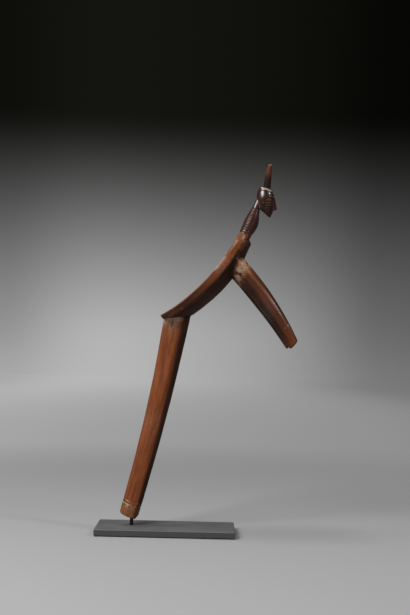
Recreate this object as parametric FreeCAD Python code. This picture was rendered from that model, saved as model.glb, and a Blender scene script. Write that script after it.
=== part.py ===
import FreeCAD, Part

import math
import os

from FreeCAD import Vector

# A three-legged stool carved from one block, with a head at the end of its handle.
# It stands upright on a display stand: a steel plate with a pin that enters the foot of the long leg.
# Millimetres. +Z is up, +X runs along the plate towards the head, and the stool is even about Y = 0.
# The origin is the centre of the felt's underside, where the stand meets the shelf.

# Stand
PLATE_LENGTH = 240.0
PLATE_DEPTH = 100.0
PLATE_THICKNESS = 10.0
PLATE_CHAMFER = 0.8
FELT_THICKNESS = 2.0
FELT_INSET = 1.5
PIN_FROM_PLATE_END = 60.5
PIN_DIAMETER = 6.0
PIN_SEAT_DEPTH = 6.0
PIN_SEAT_CLEARANCE = 0.05
PIN_TIP_CHAMFER = 0.6
SCREW_DIAMETER = 4.0
SCREW_THREAD_LENGTH = 9.0
SCREW_HEAD_DIAMETER = 8.0
SCREW_HEAD_HEIGHT = 2.3
SCREW_SOCKET_FLATS = 2.5
SCREW_SOCKET_DEPTH = 1.4
SCREW_CLEARANCE = 0.15
SCREW_HEAD_RECESS = 0.3

# Socket for the pin in the foot of the long leg
SOCKET_DEPTH = 48.0
SOCKET_CLEARANCE = 0.08
SOCKET_MOUTH_ABOVE_PLATE = 11.2
SOCKET_AHEAD_OF_LEG_AXIS = 6.0
SOCKET_BELOW_LEG_AXIS = 4.3

# Long leg: a bowed, tapered limb. Leans are measured from upright.
LONG_LEG_LENGTH = 353.0
LONG_LEG_FOOT_LEAN = 15.5
LONG_LEG_TOP_LEAN = 9.4
LONG_LEG_TOP_WIDTH = 45.5
LONG_LEG_UPPER_WIDTH = 40.5
LONG_LEG_WAIST_WIDTH = 36.8
LONG_LEG_FOOT_WIDTH = 32.6
LONG_LEG_WAIST_AT = 0.45
LONG_LEG_FLATNESS = 0.93
LONG_LEG_FOOT_TILT = 6.0
LONG_LEG_FOOT_WEAR = 12.0
LONG_LEG_FOOT_ROUND = 3.5

# Seat: a curved plank, dished on top and bellied below
SEAT_HEADING = 30.8
SEAT_CURVE_RADIUS = 330.0
SEAT_LENGTH = 195.0
SEAT_WIDTH = 108.0
SEAT_TAIL_WIDTH = 80.0
SEAT_END_WIDTH = 25.0
SEAT_EDGE = 14.0
SEAT_DISH = 2.0
SEAT_TAIL_DEPTH = 28.0
SEAT_BELLY_DEPTH = 33.5
SEAT_END_DEPTH = 29.0
SEAT_SHOULDER_LENGTH = 42.0
SEAT_WIDEST_AT = 0.5
SEAT_DEEPEST_AT = 0.72
SEAT_SECTIONS = 16
TAIL_BEHIND_LEG = 27.2
TAIL_ABOVE_LEG = 5.1
TAIL_LIP = 6.5
LEG_SHOULDER_SLOPE = 6.5

# Front legs: a splayed pair under the handle end of the seat
FRONT_LEG_LENGTH = 180.0
FRONT_LEG_DROP = 52.9
FRONT_LEG_BOW = 5.5
FRONT_LEG_AT = 153.0
FRONT_LEG_ROOT_DEPTH = 16.0
FRONT_LEG_ROOT_SPREAD = 27.0
FRONT_LEG_FOOT_SPREAD = 37.0
FRONT_LEG_ROOT_WIDTH = 35.0
FRONT_LEG_CALF_WIDTH = 30.5
FRONT_LEG_FOOT_WIDTH = 18.5
FRONT_LEG_CALF_AT = 0.5
FRONT_LEG_FOOT_ROUND = 4.0

# Neck: a barrel with a collar and a row of cut rings, which is also the grip.
# Its line sways: back where it leaves the seat, forward at the barrel, back again under the head.
NECK_LENGTH = 68.0
NECK_TILT = 3.0
NECK_UNDER_SEAT_TOP = 12.6
NECK_COLLAR_RADIUS = 11.0
NECK_COLLAR_LENGTH = 7.0
NECK_BARREL_RADIUS = 13.0
NECK_BARREL_AT = 32.0
NECK_TOP_RADIUS = 6.3
NECK_BASE_BACK = 1.5
NECK_BARREL_FORWARD = 0.9
NECK_TOP_BACK = 2.0
NECK_INTO_HEAD = 8.0
NECK_SECTIONS = 16
RING_START = 12.5
RING_COUNT = 11
RING_PITCH = 4.6
RING_GROOVE_WIDTH = 1.6
RING_GROOVE_DEPTH = 0.9

# Head: upright, looking along +X. Heights are above its centre, and drops are below it.
HEAD_AHEAD_OF_NECK = 11.63
HEAD_ABOVE_NECK = 6.96
SKULL_RADIUS = 15.2
SKULL_WIDEST_HEIGHT = 3.0
SKULL_SHOULDER_RADIUS = 12.2
SKULL_SHOULDER_HEIGHT = 22.0
SKULL_TOP_HEIGHT = 27.0
SKULL_DROP = 17.0
SKULL_TOP_BULGE = 0.126
SKULL_SIDE_BULGE = 0.047
SKULL_BASE_BULGE = 0.19
CROWN_HEIGHT = 21.7
CROWN_AHEAD = 2.0
CROWN_TILT = 16.0
CHEEK_DROP = 3.0
CHEEK_AHEAD = 0.5
CHEEK_HALF_LENGTH = 14.4
CHEEK_HALF_WIDTH = 13.4
JAW_DROP = 14.5
JAW_AHEAD = 2.9
JAW_HALF_LENGTH = 11.3
JAW_HALF_WIDTH = 10.4
CHIN_DROP = 27.5
CHIN_AHEAD = 8.3
CHIN_HALF_LENGTH = 1.7
CHIN_HALF_WIDTH = 3.2
NOSE_ROOT = 10.6
NOSE_TOP = 15.0
NOSE_TOP_REACH = 15.4
NOSE_TOP_HALF_WIDTH = 1.6
NOSE_TIP_DROP = 13.1
NOSE_TIP_REACH = 21.0
NOSE_TIP_HALF_WIDTH = 3.0
NOSE_UNDER_DROP = 15.6
NOSE_UNDER_REACH = 18.6
BROW_HEIGHT = 7.0
BROW_RING_RADIUS = 14.0
BROW_RADIUS = 2.1
BROW_FROM = 6.8
EYE_HEIGHT = 0.0
EYE_TURN = 38.0
EYE_RADIUS = 3.6
EYE_PROUD = 1.6
LIP_DROP = 18.6
LIP_RADIUS = 2.2
LIP_PITCH = 3.6
LIP_HALF_WIDTH = 5.6
LIP_AHEAD = 11.6
EAR_RADIUS = 4.4
EAR_THICKNESS = 1.7
EAR_BEHIND = 2.0
EAR_OUT = 13.6

# Topknot: a tapered peg that stands on the crown, with a slanted tip
TOPKNOT_LENGTH = 44.5
TOPKNOT_BASE_RADIUS = 6.3
TOPKNOT_WAIST_RADIUS = 5.8
TOPKNOT_WAIST_AT = 0.45
TOPKNOT_TIP_RADIUS = 4.8
TOPKNOT_TIP_SLANT = 20.0
TOPKNOT_TIP_ROUND = 2.0
TOPKNOT_LEAN = 5.1
TOPKNOT_AHEAD = 2.5

# Worked out from the sizes above
PLATE_BOTTOM = FELT_THICKNESS
PLATE_TOP = PLATE_BOTTOM + PLATE_THICKNESS
PIN_X = PIN_FROM_PLATE_END - PLATE_LENGTH / 2
PIN_RADIUS = PIN_DIAMETER / 2
PIN_FOOT = PLATE_TOP - PIN_SEAT_DEPTH
SOCKET_MOUTH = PLATE_TOP + SOCKET_MOUTH_ABOVE_PLATE
SOCKET_END = SOCKET_MOUTH + SOCKET_DEPTH
SEAT_TURN = math.degrees(SEAT_LENGTH / SEAT_CURVE_RADIUS)
FAR = 4 * SEAT_LENGTH
HEXAGON_SIDES = 6
SIDEWAYS = Vector(0, 1, 0)


def heading(degrees):
    """Unit vector in the side view, at an angle above +X."""
    return Vector(math.cos(math.radians(degrees)), 0, math.sin(math.radians(degrees)))


def walk(start, first, turn, length, travelled):
    """Point and heading after travelling along an arc that turns evenly over its length."""
    radius = length / math.radians(turn)
    here = first + turn * travelled / length
    a, b = math.radians(first), math.radians(here)
    shift = Vector(math.sin(b) - math.sin(a), 0, math.cos(a) - math.cos(b))
    return start + shift * radius, here


def side_slab(corners, half_depth):
    """Solid with the given outline in the side view, reaching evenly to both sides."""
    points = [Vector(x, -half_depth, z) for x, z in corners]
    face = Part.Face(Part.makePolygon(points + points[:1]))
    return face.extrude(Vector(0, 2 * half_depth, 0))


def half_space(point, degrees):
    """Everything to the right of a traveller at that heading: below a plane that runs towards +X."""
    along = heading(degrees)
    out = Vector(along.z, 0, -along.x)
    corners = [point - along * FAR, point + along * FAR]
    corners += [point + along * FAR + out * FAR, point - along * FAR + out * FAR]
    return side_slab([(c.x, c.z) for c in corners], FAR)


def ellipse(centre, first, second):
    """Closed curve with two half axes, of which either may be the longer, that starts at the first."""
    across = first.cross(second).normalize()
    circle = Part.Circle(Vector(0, 0, 0), Vector(0, 0, 1), 1.0).toShape()
    placed = circle.transformGeometry(FreeCAD.Matrix(
        first.x, second.x, across.x, centre.x,
        first.y, second.y, across.y, centre.y,
        first.z, second.z, across.z, centre.z,
        0, 0, 0, 1))
    return Part.Wire(placed.Edges)


def ring(centre, direction, half_width, flatness=1.0):
    """Ring across a limb: half_width lies in the side view, and flatness sets its depth."""
    if flatness == 1.0:
        return Part.Wire(Part.Circle(centre, direction, half_width).toShape())
    across = SIDEWAYS.cross(direction).normalize() * half_width
    beside = direction.cross(across) * flatness
    if flatness > 1.0:
        across, beside = beside, -across
    return Part.Wire(Part.Ellipse(centre + across, centre + beside, centre).toShape())


def edges_near(shape, point, reach):
    """Edges whose middle lies within reach of a point."""
    return [e for e in shape.Edges if e.CenterOfMass.distanceToPoint(point) < reach]


def largest(shape):
    """The biggest solid of a cut."""
    return max(shape.Solids, key=lambda solid: solid.Volume)


# Stand

def make_base_plate():
    blank = Part.makeBox(
        PLATE_LENGTH, PLATE_DEPTH, PLATE_THICKNESS,
        Vector(-PLATE_LENGTH / 2, -PLATE_DEPTH / 2, PLATE_BOTTOM))
    rim = [e for e in blank.Edges if e.BoundBox.ZMax > PLATE_BOTTOM + PLATE_CHAMFER]
    plate = blank.makeChamfer(PLATE_CHAMFER, rim)
    seat = Part.makeCylinder(
        PIN_RADIUS + PIN_SEAT_CLEARANCE, PIN_SEAT_DEPTH, Vector(PIN_X, 0, PIN_FOOT))
    shank_hole = SCREW_DIAMETER / 2 + SCREW_CLEARANCE
    head_hole = SCREW_HEAD_DIAMETER / 2 + SCREW_CLEARANCE
    mouth_depth = SCREW_HEAD_RECESS + SCREW_CLEARANCE
    hole = Part.makeCylinder(shank_hole, PLATE_THICKNESS, Vector(PIN_X, 0, PLATE_BOTTOM))
    countersink = Part.makeCone(
        head_hole, shank_hole, SCREW_HEAD_HEIGHT, Vector(PIN_X, 0, PLATE_BOTTOM + mouth_depth))
    mouth = Part.makeCylinder(head_hole, mouth_depth, Vector(PIN_X, 0, PLATE_BOTTOM))
    return plate.cut([seat, hole, countersink, mouth])


def make_base_felt():
    return Part.makeBox(
        PLATE_LENGTH - 2 * FELT_INSET, PLATE_DEPTH - 2 * FELT_INSET, FELT_THICKNESS,
        Vector(FELT_INSET - PLATE_LENGTH / 2, FELT_INSET - PLATE_DEPTH / 2, 0))


def make_mount_pin():
    rod = Part.makeCylinder(PIN_RADIUS, SOCKET_END - PIN_FOOT, Vector(PIN_X, 0, PIN_FOOT))
    tip = [e for e in rod.Edges if abs(e.CenterOfMass.z - SOCKET_END) < PIN_TIP_CHAMFER and e.Closed]
    rod = rod.makeChamfer(PIN_TIP_CHAMFER, tip)
    return rod.cut(Part.makeCylinder(SCREW_DIAMETER / 2, SCREW_THREAD_LENGTH, Vector(PIN_X, 0, PIN_FOOT)))


def make_pin_screw():
    bottom = PLATE_BOTTOM + SCREW_HEAD_RECESS
    top = PIN_FOOT + SCREW_THREAD_LENGTH
    foot = Vector(PIN_X, 0, bottom)
    head = Part.makeCone(SCREW_HEAD_DIAMETER / 2, SCREW_DIAMETER / 2, SCREW_HEAD_HEIGHT, foot)
    shank = Part.makeCylinder(SCREW_DIAMETER / 2, top - bottom, foot)
    across = SCREW_SOCKET_FLATS / math.sqrt(3)
    corners = []
    for number in range(HEXAGON_SIDES):
        turn = math.tau * number / HEXAGON_SIDES
        corners.append(foot + Vector(across * math.cos(turn), across * math.sin(turn), 0))
    key = Part.Face(Part.makePolygon(corners + corners[:1])).extrude(Vector(0, 0, SCREW_SOCKET_DEPTH))
    return head.fuse(shank).removeSplitter().cut(key)


# Long leg

def long_leg_foot():
    """Where the leg's axis meets its foot."""
    return Vector(PIN_X - SOCKET_AHEAD_OF_LEG_AXIS, 0, SOCKET_MOUTH + SOCKET_BELOW_LEG_AXIS)


def long_leg_station(share):
    """Point and heading on the leg's axis, from 0 at the foot to 1 at the top, and a little past both."""
    turn = LONG_LEG_FOOT_LEAN - LONG_LEG_TOP_LEAN
    return walk(long_leg_foot(), 90 - LONG_LEG_FOOT_LEAN, turn, LONG_LEG_LENGTH, share * LONG_LEG_LENGTH)


def leg_shoulder():
    """The flat where the leg meets the underside of the seat: a point on it."""
    tail, along = seat_station(0)
    return tail + heading(along - 90) * TAIL_LIP


def make_long_leg():
    past = LONG_LEG_TOP_WIDTH / LONG_LEG_LENGTH
    upper_at = (1 + LONG_LEG_WAIST_AT) / 2
    stations = [
        (-past, LONG_LEG_FOOT_WIDTH), (0.0, LONG_LEG_FOOT_WIDTH), (LONG_LEG_WAIST_AT, LONG_LEG_WAIST_WIDTH),
        (upper_at, LONG_LEG_UPPER_WIDTH), (1.0, LONG_LEG_TOP_WIDTH), (1 + past, LONG_LEG_TOP_WIDTH)]
    rings = []
    for share, width in stations:
        centre, along = long_leg_station(share)
        rings.append(ring(centre, heading(along), width / 2, LONG_LEG_FLATNESS))
    leg = Part.makeLoft(rings, True)
    foot = long_leg_foot()
    leg = leg.cut(half_space(leg_shoulder(), 180 + LEG_SHOULDER_SLOPE))
    leg = leg.cut(half_space(foot, -LONG_LEG_FOOT_LEAN - LONG_LEG_FOOT_TILT))
    leg = leg.cut(half_space(stance_point(), stance_angle()))
    leg = leg.makeFillet(LONG_LEG_FOOT_ROUND, edges_near(leg, foot, LONG_LEG_FOOT_WIDTH))
    radius = PIN_RADIUS + SOCKET_CLEARANCE
    socket = Part.makeCylinder(radius, SOCKET_END - PLATE_TOP, Vector(PIN_X, 0, PLATE_TOP))
    return largest(leg.cut(socket))


# Seat

def seat_station(travelled):
    """Point on the middle of the seat's top, and its heading, that far from the tail."""
    leg_top, _ = long_leg_station(1.0)
    tail = leg_top + Vector(-TAIL_BEHIND_LEG, 0, TAIL_ABOVE_LEG)
    return walk(tail, SEAT_HEADING, SEAT_TURN, SEAT_LENGTH, travelled)


def plank_section(travelled, width, depth):
    """Cross-section of the seat: dished top, upright edges and a rounded belly."""
    top, along = seat_station(travelled)
    down = heading(along - 90)
    dish = SEAT_DISH * width / SEAT_WIDTH
    left, right = SIDEWAYS * (width / 2), SIDEWAYS * (-width / 2)
    upper = [top + right, top + down * dish, top + left]
    lower = [upper[2] + down * SEAT_EDGE, top + down * depth, upper[0] + down * SEAT_EDGE]
    return Part.Wire([
        Part.Arc(*upper).toShape(), Part.makeLine(upper[2], lower[0]),
        Part.Arc(*lower).toShape(), Part.makeLine(lower[2], upper[0])])


def smooth(share):
    """Eased step from 0 to 1."""
    share = min(max(share, 0.0), 1.0)
    return share * share * (3 - 2 * share)


def seat_width(travelled):
    """Plan of the seat: it widens from the tail, then draws in over the shoulders to the neck."""
    widening = smooth(travelled / (SEAT_LENGTH * SEAT_WIDEST_AT))
    wide = SEAT_TAIL_WIDTH + (SEAT_WIDTH - SEAT_TAIL_WIDTH) * widening
    drawn_in = smooth((travelled - SEAT_LENGTH + SEAT_SHOULDER_LENGTH) / SEAT_SHOULDER_LENGTH)
    return wide + (SEAT_END_WIDTH - wide) * drawn_in


def seat_depth(travelled):
    """Thickness at the middle of the belly, greatest over the front legs."""
    deepest = SEAT_LENGTH * SEAT_DEEPEST_AT
    grown = SEAT_TAIL_DEPTH + (SEAT_BELLY_DEPTH - SEAT_TAIL_DEPTH) * smooth(travelled / deepest)
    shrunk = smooth((travelled - deepest) / (SEAT_LENGTH - deepest))
    return grown + (SEAT_END_DEPTH - grown) * shrunk


def make_seat():
    sections = []
    for number in range(SEAT_SECTIONS + 1):
        travelled = SEAT_LENGTH * number / SEAT_SECTIONS
        sections.append(plank_section(travelled, seat_width(travelled), seat_depth(travelled)))
    plank = Part.makeLoft(sections, True)
    return largest(plank.cut(half_space(leg_shoulder(), LEG_SHOULDER_SLOPE)))


# Front legs

def front_leg_root(side):
    """Start of a front leg's axis, inside the seat."""
    top, along = seat_station(FRONT_LEG_AT)
    return top + heading(along - 90) * FRONT_LEG_ROOT_DEPTH + SIDEWAYS * (side * FRONT_LEG_ROOT_SPREAD)


def front_leg_foot(side):
    """Where a front leg's axis meets the floor that the stool is used on."""
    root = front_leg_root(side)
    outwards = side * (FRONT_LEG_FOOT_SPREAD - FRONT_LEG_ROOT_SPREAD)
    return root + heading(-FRONT_LEG_DROP) * FRONT_LEG_LENGTH + SIDEWAYS * outwards


def stance_angle():
    """Slope, as displayed, of the plane on which all three feet rest when the stool is in use."""
    run = front_leg_foot(0) - long_leg_foot()
    reach = math.hypot(run.x, run.z)
    return math.degrees(math.atan2(run.z, run.x) + math.asin(LONG_LEG_FOOT_WEAR / reach))


def stance_point():
    return front_leg_foot(0)


def make_front_leg(side, seat):
    root, foot = front_leg_root(side), front_leg_foot(side)
    axis = foot - root
    out = heading(90 - FRONT_LEG_DROP)
    past = FRONT_LEG_FOOT_WIDTH / axis.Length
    stations = [
        (0.0, FRONT_LEG_ROOT_WIDTH), (FRONT_LEG_CALF_AT, FRONT_LEG_CALF_WIDTH),
        (1.0, FRONT_LEG_FOOT_WIDTH), (1.0 + past, FRONT_LEG_FOOT_WIDTH)]
    rings = []
    for share, width in stations:
        centre = root + axis * share + out * (FRONT_LEG_BOW * 4 * share * (1 - share))
        along = axis + out * (FRONT_LEG_BOW * 4 * (1 - 2 * share))
        rings.append(ring(centre, along.normalize(), width / 2))
    leg = Part.makeLoft(rings, True)
    leg = leg.cut(half_space(stance_point(), stance_angle()))
    leg = leg.makeFillet(FRONT_LEG_FOOT_ROUND, edges_near(leg, foot, FRONT_LEG_FOOT_WIDTH / 2))
    return largest(leg.cut(seat))


# Neck, head and topknot

def neck_base():
    """Where the neck's axis leaves the seat, and its heading."""
    top, along = seat_station(SEAT_LENGTH)
    return top + heading(along - 90) * NECK_UNDER_SEAT_TOP, along + NECK_TILT


def neck_radius(travelled):
    """Plain collar, then a barrel that swells and tapers to the head."""
    swelling = smooth((travelled - NECK_COLLAR_LENGTH) / (NECK_BARREL_AT - NECK_COLLAR_LENGTH))
    tapering = smooth((travelled - NECK_BARREL_AT) / (NECK_LENGTH - NECK_BARREL_AT))
    barrel = NECK_COLLAR_RADIUS + (NECK_BARREL_RADIUS - NECK_COLLAR_RADIUS) * swelling
    return barrel + (NECK_TOP_RADIUS - barrel) * tapering


def neck_centre(travelled):
    """Middle of the neck that far along its axis."""
    base, along = neck_base()
    forward = smooth(travelled / NECK_BARREL_AT)
    back = smooth((travelled - NECK_BARREL_AT) / (NECK_LENGTH - NECK_BARREL_AT))
    sway = NECK_BASE_BACK - (NECK_BASE_BACK + NECK_BARREL_FORWARD) * forward
    sway += (NECK_TOP_BACK + NECK_BARREL_FORWARD) * back
    return base + heading(along) * travelled + heading(along + 90) * sway


def make_neck(head):
    _, along = neck_base()
    axis, out = heading(along), heading(along + 90)
    sections = []
    for number in range(NECK_SECTIONS + 1):
        share = number / NECK_SECTIONS
        travelled = (NECK_LENGTH + NECK_INTO_HEAD) * share - NECK_COLLAR_LENGTH * (1 - share)
        sections.append(ring(neck_centre(travelled), axis, neck_radius(travelled)))
    barrel = Part.makeLoft(sections, True)
    seat_top, seat_along = seat_station(SEAT_LENGTH)
    barrel = barrel.cut(half_space(seat_top, seat_along - 90))
    half = RING_GROOVE_WIDTH / 2
    grooves = []
    for number in range(RING_COUNT):
        travelled = RING_START + RING_PITCH * number
        centre, radius = neck_centre(travelled), neck_radius(travelled)
        corners = [
            centre - axis * half + out * (radius + half), centre + out * (radius - RING_GROOVE_DEPTH),
            centre + axis * half + out * (radius + half)]
        grooves.append(Part.Face(Part.makePolygon(corners + corners[:1])).revolve(centre, axis, 360))
    return largest(barrel.cut(grooves).cut(head))


def head_centre():
    base, along = neck_base()
    return base + heading(along) * NECK_LENGTH + Vector(HEAD_AHEAD_OF_NECK, 0, HEAD_ABOVE_NECK)


def bulging(start, end, share):
    """Arc in the side view that stands out of its chord by a share of the chord's length."""
    chord = end - start
    middle = (start + end) / 2 + Vector(-chord.z, 0, chord.x) * share
    return Part.Arc(start, middle, end).toShape()


def make_skull():
    """Egg-shaped skull turned about an upright axis, with a crown that slopes down to the face."""
    bottom, top = Vector(0, 0, -SKULL_DROP), Vector(0, 0, SKULL_TOP_HEIGHT)
    shoulder = Vector(SKULL_SHOULDER_RADIUS, 0, SKULL_SHOULDER_HEIGHT)
    widest = Vector(SKULL_RADIUS, 0, SKULL_WIDEST_HEIGHT)
    outline = Part.Wire([
        Part.makeLine(bottom, top), bulging(top, shoulder, SKULL_TOP_BULGE),
        bulging(shoulder, widest, SKULL_SIDE_BULGE), bulging(widest, bottom, SKULL_BASE_BULGE)])
    return Part.Face(outline).revolve(Vector(0, 0, 0), Vector(0, 0, 1), 360)


def oval(drop, ahead, half_length, half_width):
    """Level ellipse across the jaw."""
    return ellipse(Vector(ahead, 0, -drop), Vector(half_length, 0, 0), SIDEWAYS * half_width)


def make_jaw():
    """Wedge that narrows from the cheeks to the chin."""
    return Part.makeLoft([
        oval(CHEEK_DROP, CHEEK_AHEAD, CHEEK_HALF_LENGTH, CHEEK_HALF_WIDTH),
        oval(JAW_DROP, JAW_AHEAD, JAW_HALF_LENGTH, JAW_HALF_WIDTH),
        oval(CHIN_DROP, CHIN_AHEAD, CHIN_HALF_LENGTH, CHIN_HALF_WIDTH)], True, True)


def make_nose():
    """Long straight bar from the forehead to an undercut tip."""
    def level(height, reach, half_width):
        corners = [Vector(NOSE_ROOT, -half_width, height), Vector(reach, -half_width, height)]
        corners += [Vector(reach, half_width, height), Vector(NOSE_ROOT, half_width, height)]
        return Part.makePolygon(corners + corners[:1])

    bridge = level(NOSE_TOP, NOSE_TOP_REACH, NOSE_TOP_HALF_WIDTH)
    tip = level(-NOSE_TIP_DROP, NOSE_TIP_REACH, NOSE_TIP_HALF_WIDTH)
    under = level(-NOSE_UNDER_DROP, NOSE_UNDER_REACH, NOSE_TIP_HALF_WIDTH)
    return Part.makeLoft([bridge, tip, under], True, True)


def make_features():
    """Brow, eyes, lips and ears that stand out of the head."""
    front = Part.makeBox(
        SKULL_RADIUS, 2 * SKULL_RADIUS, SKULL_RADIUS,
        Vector(BROW_FROM, -SKULL_RADIUS, BROW_HEIGHT - BROW_RADIUS))
    brow = Part.makeTorus(BROW_RING_RADIUS, BROW_RADIUS, Vector(0, 0, BROW_HEIGHT))
    features = [brow.common(front)]
    for side in (-1, 1):
        around = math.radians(side * EYE_TURN)
        reach = SKULL_RADIUS - EYE_RADIUS + EYE_PROUD
        features.append(Part.makeSphere(
            EYE_RADIUS, Vector(reach * math.cos(around), reach * math.sin(around), EYE_HEIGHT)))
        features.append(Part.makeTorus(
            EAR_RADIUS, EAR_THICKNESS, Vector(-EAR_BEHIND, side * EAR_OUT, 0), SIDEWAYS))
    for lift in (-1, 1):
        features.append(Part.makeCylinder(
            LIP_RADIUS, 2 * LIP_HALF_WIDTH,
            Vector(LIP_AHEAD, -LIP_HALF_WIDTH, -LIP_DROP + lift * LIP_PITCH / 2), SIDEWAYS))
    return features


def make_head():
    head = make_skull().fuse([make_jaw(), make_nose()] + make_features()).removeSplitter()
    head = head.cut(half_space(Vector(CROWN_AHEAD, 0, CROWN_HEIGHT), 180 - CROWN_TILT))
    head.translate(head_centre())
    return largest(head)


def make_topknot():
    """Peg that stands on the sloping crown."""
    fall = (TOPKNOT_AHEAD - CROWN_AHEAD) * math.tan(math.radians(CROWN_TILT))
    foot = head_centre() + Vector(TOPKNOT_AHEAD, 0, CROWN_HEIGHT - fall)
    along = heading(90 - TOPKNOT_LEAN)
    top = foot + along * TOPKNOT_LENGTH
    peg = Part.makeLoft([
        ring(foot, heading(90 - CROWN_TILT), TOPKNOT_BASE_RADIUS),
        ring(foot + along * (TOPKNOT_LENGTH * TOPKNOT_WAIST_AT), along, TOPKNOT_WAIST_RADIUS),
        ring(top, heading(90 - TOPKNOT_LEAN + TOPKNOT_TIP_SLANT), TOPKNOT_TIP_RADIUS)], True)
    return peg.makeFillet(TOPKNOT_TIP_ROUND, edges_near(peg, top, TOPKNOT_TIP_RADIUS))


def make_parts():
    seat = make_seat()
    head = make_head()
    return {
        "base_plate": make_base_plate(),
        "base_felt": make_base_felt(),
        "mount_pin": make_mount_pin(),
        "pin_screw": make_pin_screw(),
        "long_leg": make_long_leg(),
        "seat": seat,
        "front_leg_left": make_front_leg(1, seat),
        "front_leg_right": make_front_leg(-1, seat),
        "neck": make_neck(head),
        "head": head,
        "topknot": make_topknot(),
    }


def main():
    os.makedirs("parts", exist_ok=True)
    for name, shape in make_parts().items():
        shape.exportStep(f"parts/{name}.step")
        print(name, shape.isValid(), len(shape.Solids), round(shape.Volume), shape.BoundBox)


main()
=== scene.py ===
import math

import bmesh
import bpy
from bpy.props import FloatProperty, FloatVectorProperty, IntProperty, PointerProperty
from bpy.types import Operator, Panel, PropertyGroup
from mathutils import Matrix, Vector, noise
from mathutils.bvhtree import BVHTree


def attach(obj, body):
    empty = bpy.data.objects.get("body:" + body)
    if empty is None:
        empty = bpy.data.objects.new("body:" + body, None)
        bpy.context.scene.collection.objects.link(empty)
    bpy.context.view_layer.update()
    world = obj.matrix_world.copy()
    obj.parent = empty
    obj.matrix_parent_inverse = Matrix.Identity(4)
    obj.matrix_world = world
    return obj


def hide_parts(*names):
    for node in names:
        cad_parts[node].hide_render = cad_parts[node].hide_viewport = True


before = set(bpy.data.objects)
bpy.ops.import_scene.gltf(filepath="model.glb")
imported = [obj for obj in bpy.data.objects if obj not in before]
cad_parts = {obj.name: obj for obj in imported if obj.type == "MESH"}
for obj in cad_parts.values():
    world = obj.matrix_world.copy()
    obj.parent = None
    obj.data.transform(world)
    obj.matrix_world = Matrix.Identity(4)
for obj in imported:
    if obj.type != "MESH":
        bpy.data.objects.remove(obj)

bl_info = {
    "name": "Carved stool",
    "version": (1, 0, 0),
    "blender": (4, 5, 0),
    "location": "View3D > Sidebar > Stool",
    "description": "Three-legged stool carved from one block, with a head on its handle, on a display stand",
    "category": "Add Mesh",
}

MM = 0.001
SIDE = Vector((0.0, 1.0, 0.0))
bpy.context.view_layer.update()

# Fineness: points round each skin, and steps round a worn rim
AROUND = {"long_leg": 104, "seat": 200, "front_leg": 88, "neck": 120, "skull": 96, "topknot": 56}
RIM_STEPS = 8


# Settings

def size(name, text, millimetres):
    return FloatProperty(
        name=name, description=text, default=millimetres * MM, unit="LENGTH", precision=4)


def angle(name, text, degrees):
    return FloatProperty(name=name, description=text, default=math.radians(degrees), subtype="ANGLE")


def share(name, text, value):
    return FloatProperty(name=name, description=text, default=value, min=0.0, max=1.0, subtype="FACTOR")


def tint(name, text, red, green, blue):
    return FloatVectorProperty(
        name=name, description=text, default=(red, green, blue), size=3, min=0.0, max=1.0, subtype="COLOR")


def watts(name, text, value):
    return FloatProperty(name=name, description=text, default=value, min=0.0, unit="POWER")


class LongLegSettings(PropertyGroup):
    foot_x: size("Foot along", "Where the leg's axis meets its foot, along the plate", -65.5)
    foot_z: size("Foot height", "Where the leg's axis meets its foot, above the shelf", 27.5)
    length: size("Length", "From the foot to the top of the leg, along its axis", 353)
    foot_lean: angle("Lean at the foot", "Angle of the axis from upright at the foot", 15.5)
    top_lean: angle("Lean at the top", "Angle of the axis from upright at the top", 9.4)
    foot_width: size("Foot width", "Width at the foot", 32.6)
    waist_width: size("Waist width", "Width a little below half height", 36.8)
    upper_width: size("Upper width", "Width at about three quarters of the height", 40.5)
    top_width: size("Top width", "Width under the seat", 45.5)
    flatness: share("Flatness", "Depth of the leg as a share of its width", 0.93)
    foot_tilt: angle("Foot tilt", "Tilt of the foot's cut across the axis", 6.0)
    foot_round: size("Foot rounding", "Worn rounding of the foot's rim", 3.2)
    ring_low: size("Lower ring", "Height of the lower cut ring above the foot", 21.5)
    ring_high: size("Upper ring", "Height of the upper cut ring above the foot", 27.0)
    ring_depth: size("Ring depth", "Depth of the cut rings", 0.75)
    ring_width: size("Ring width", "Half width of the cut rings", 0.75)
    socket_x: size("Socket along", "Where the pin enters the foot, along the plate", -59.5)
    socket_radius: size("Socket radius", "Radius of the hole for the pin", 3.08)
    socket_top: size("Socket top", "Height of the closed end of the hole", 71.2)


class SeatSettings(PropertyGroup):
    tail_x: size("Tail along", "Middle of the seat's top at the tail, along the plate", -16.6)
    tail_z: size("Tail height", "Middle of the seat's top at the tail, above the shelf", 377.4)
    heading: angle("Heading", "Slope of the seat's top at the tail", 30.8)
    curve_radius: size("Curve radius", "Radius of the seat's upward curve", 330)
    length: size("Length", "From the tail to the neck, along the top", 195)
    width: size("Width", "Greatest width", 108)
    tail_width: size("Tail width", "Width at the tail", 80)
    end_width: size("End width", "Width where the neck starts", 25)
    edge: size("Edge", "Height of the upright edge", 14)
    dish: size("Dish", "Hollow of the top", 2)
    tail_depth: size("Tail depth", "Thickness at the tail", 28)
    belly_depth: size("Belly depth", "Greatest thickness", 33.5)
    end_depth: size("End depth", "Thickness where the neck starts", 29)
    shoulder: size("Shoulder", "Length over which the seat draws in to the neck", 42)
    widest: share("Widest at", "Place of the greatest width along the seat", 0.5)
    deepest: share("Deepest at", "Place of the greatest thickness along the seat", 0.72)
    tail_lip: size("Tail lip", "Thickness of the lip over the long leg", 6.5)
    underside: angle("Underside slope", "Slope of the flat over the long leg", 6.5)
    tool_marks: size("Tool marks", "Depth of the adze marks under the seat", 0.55)


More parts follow.
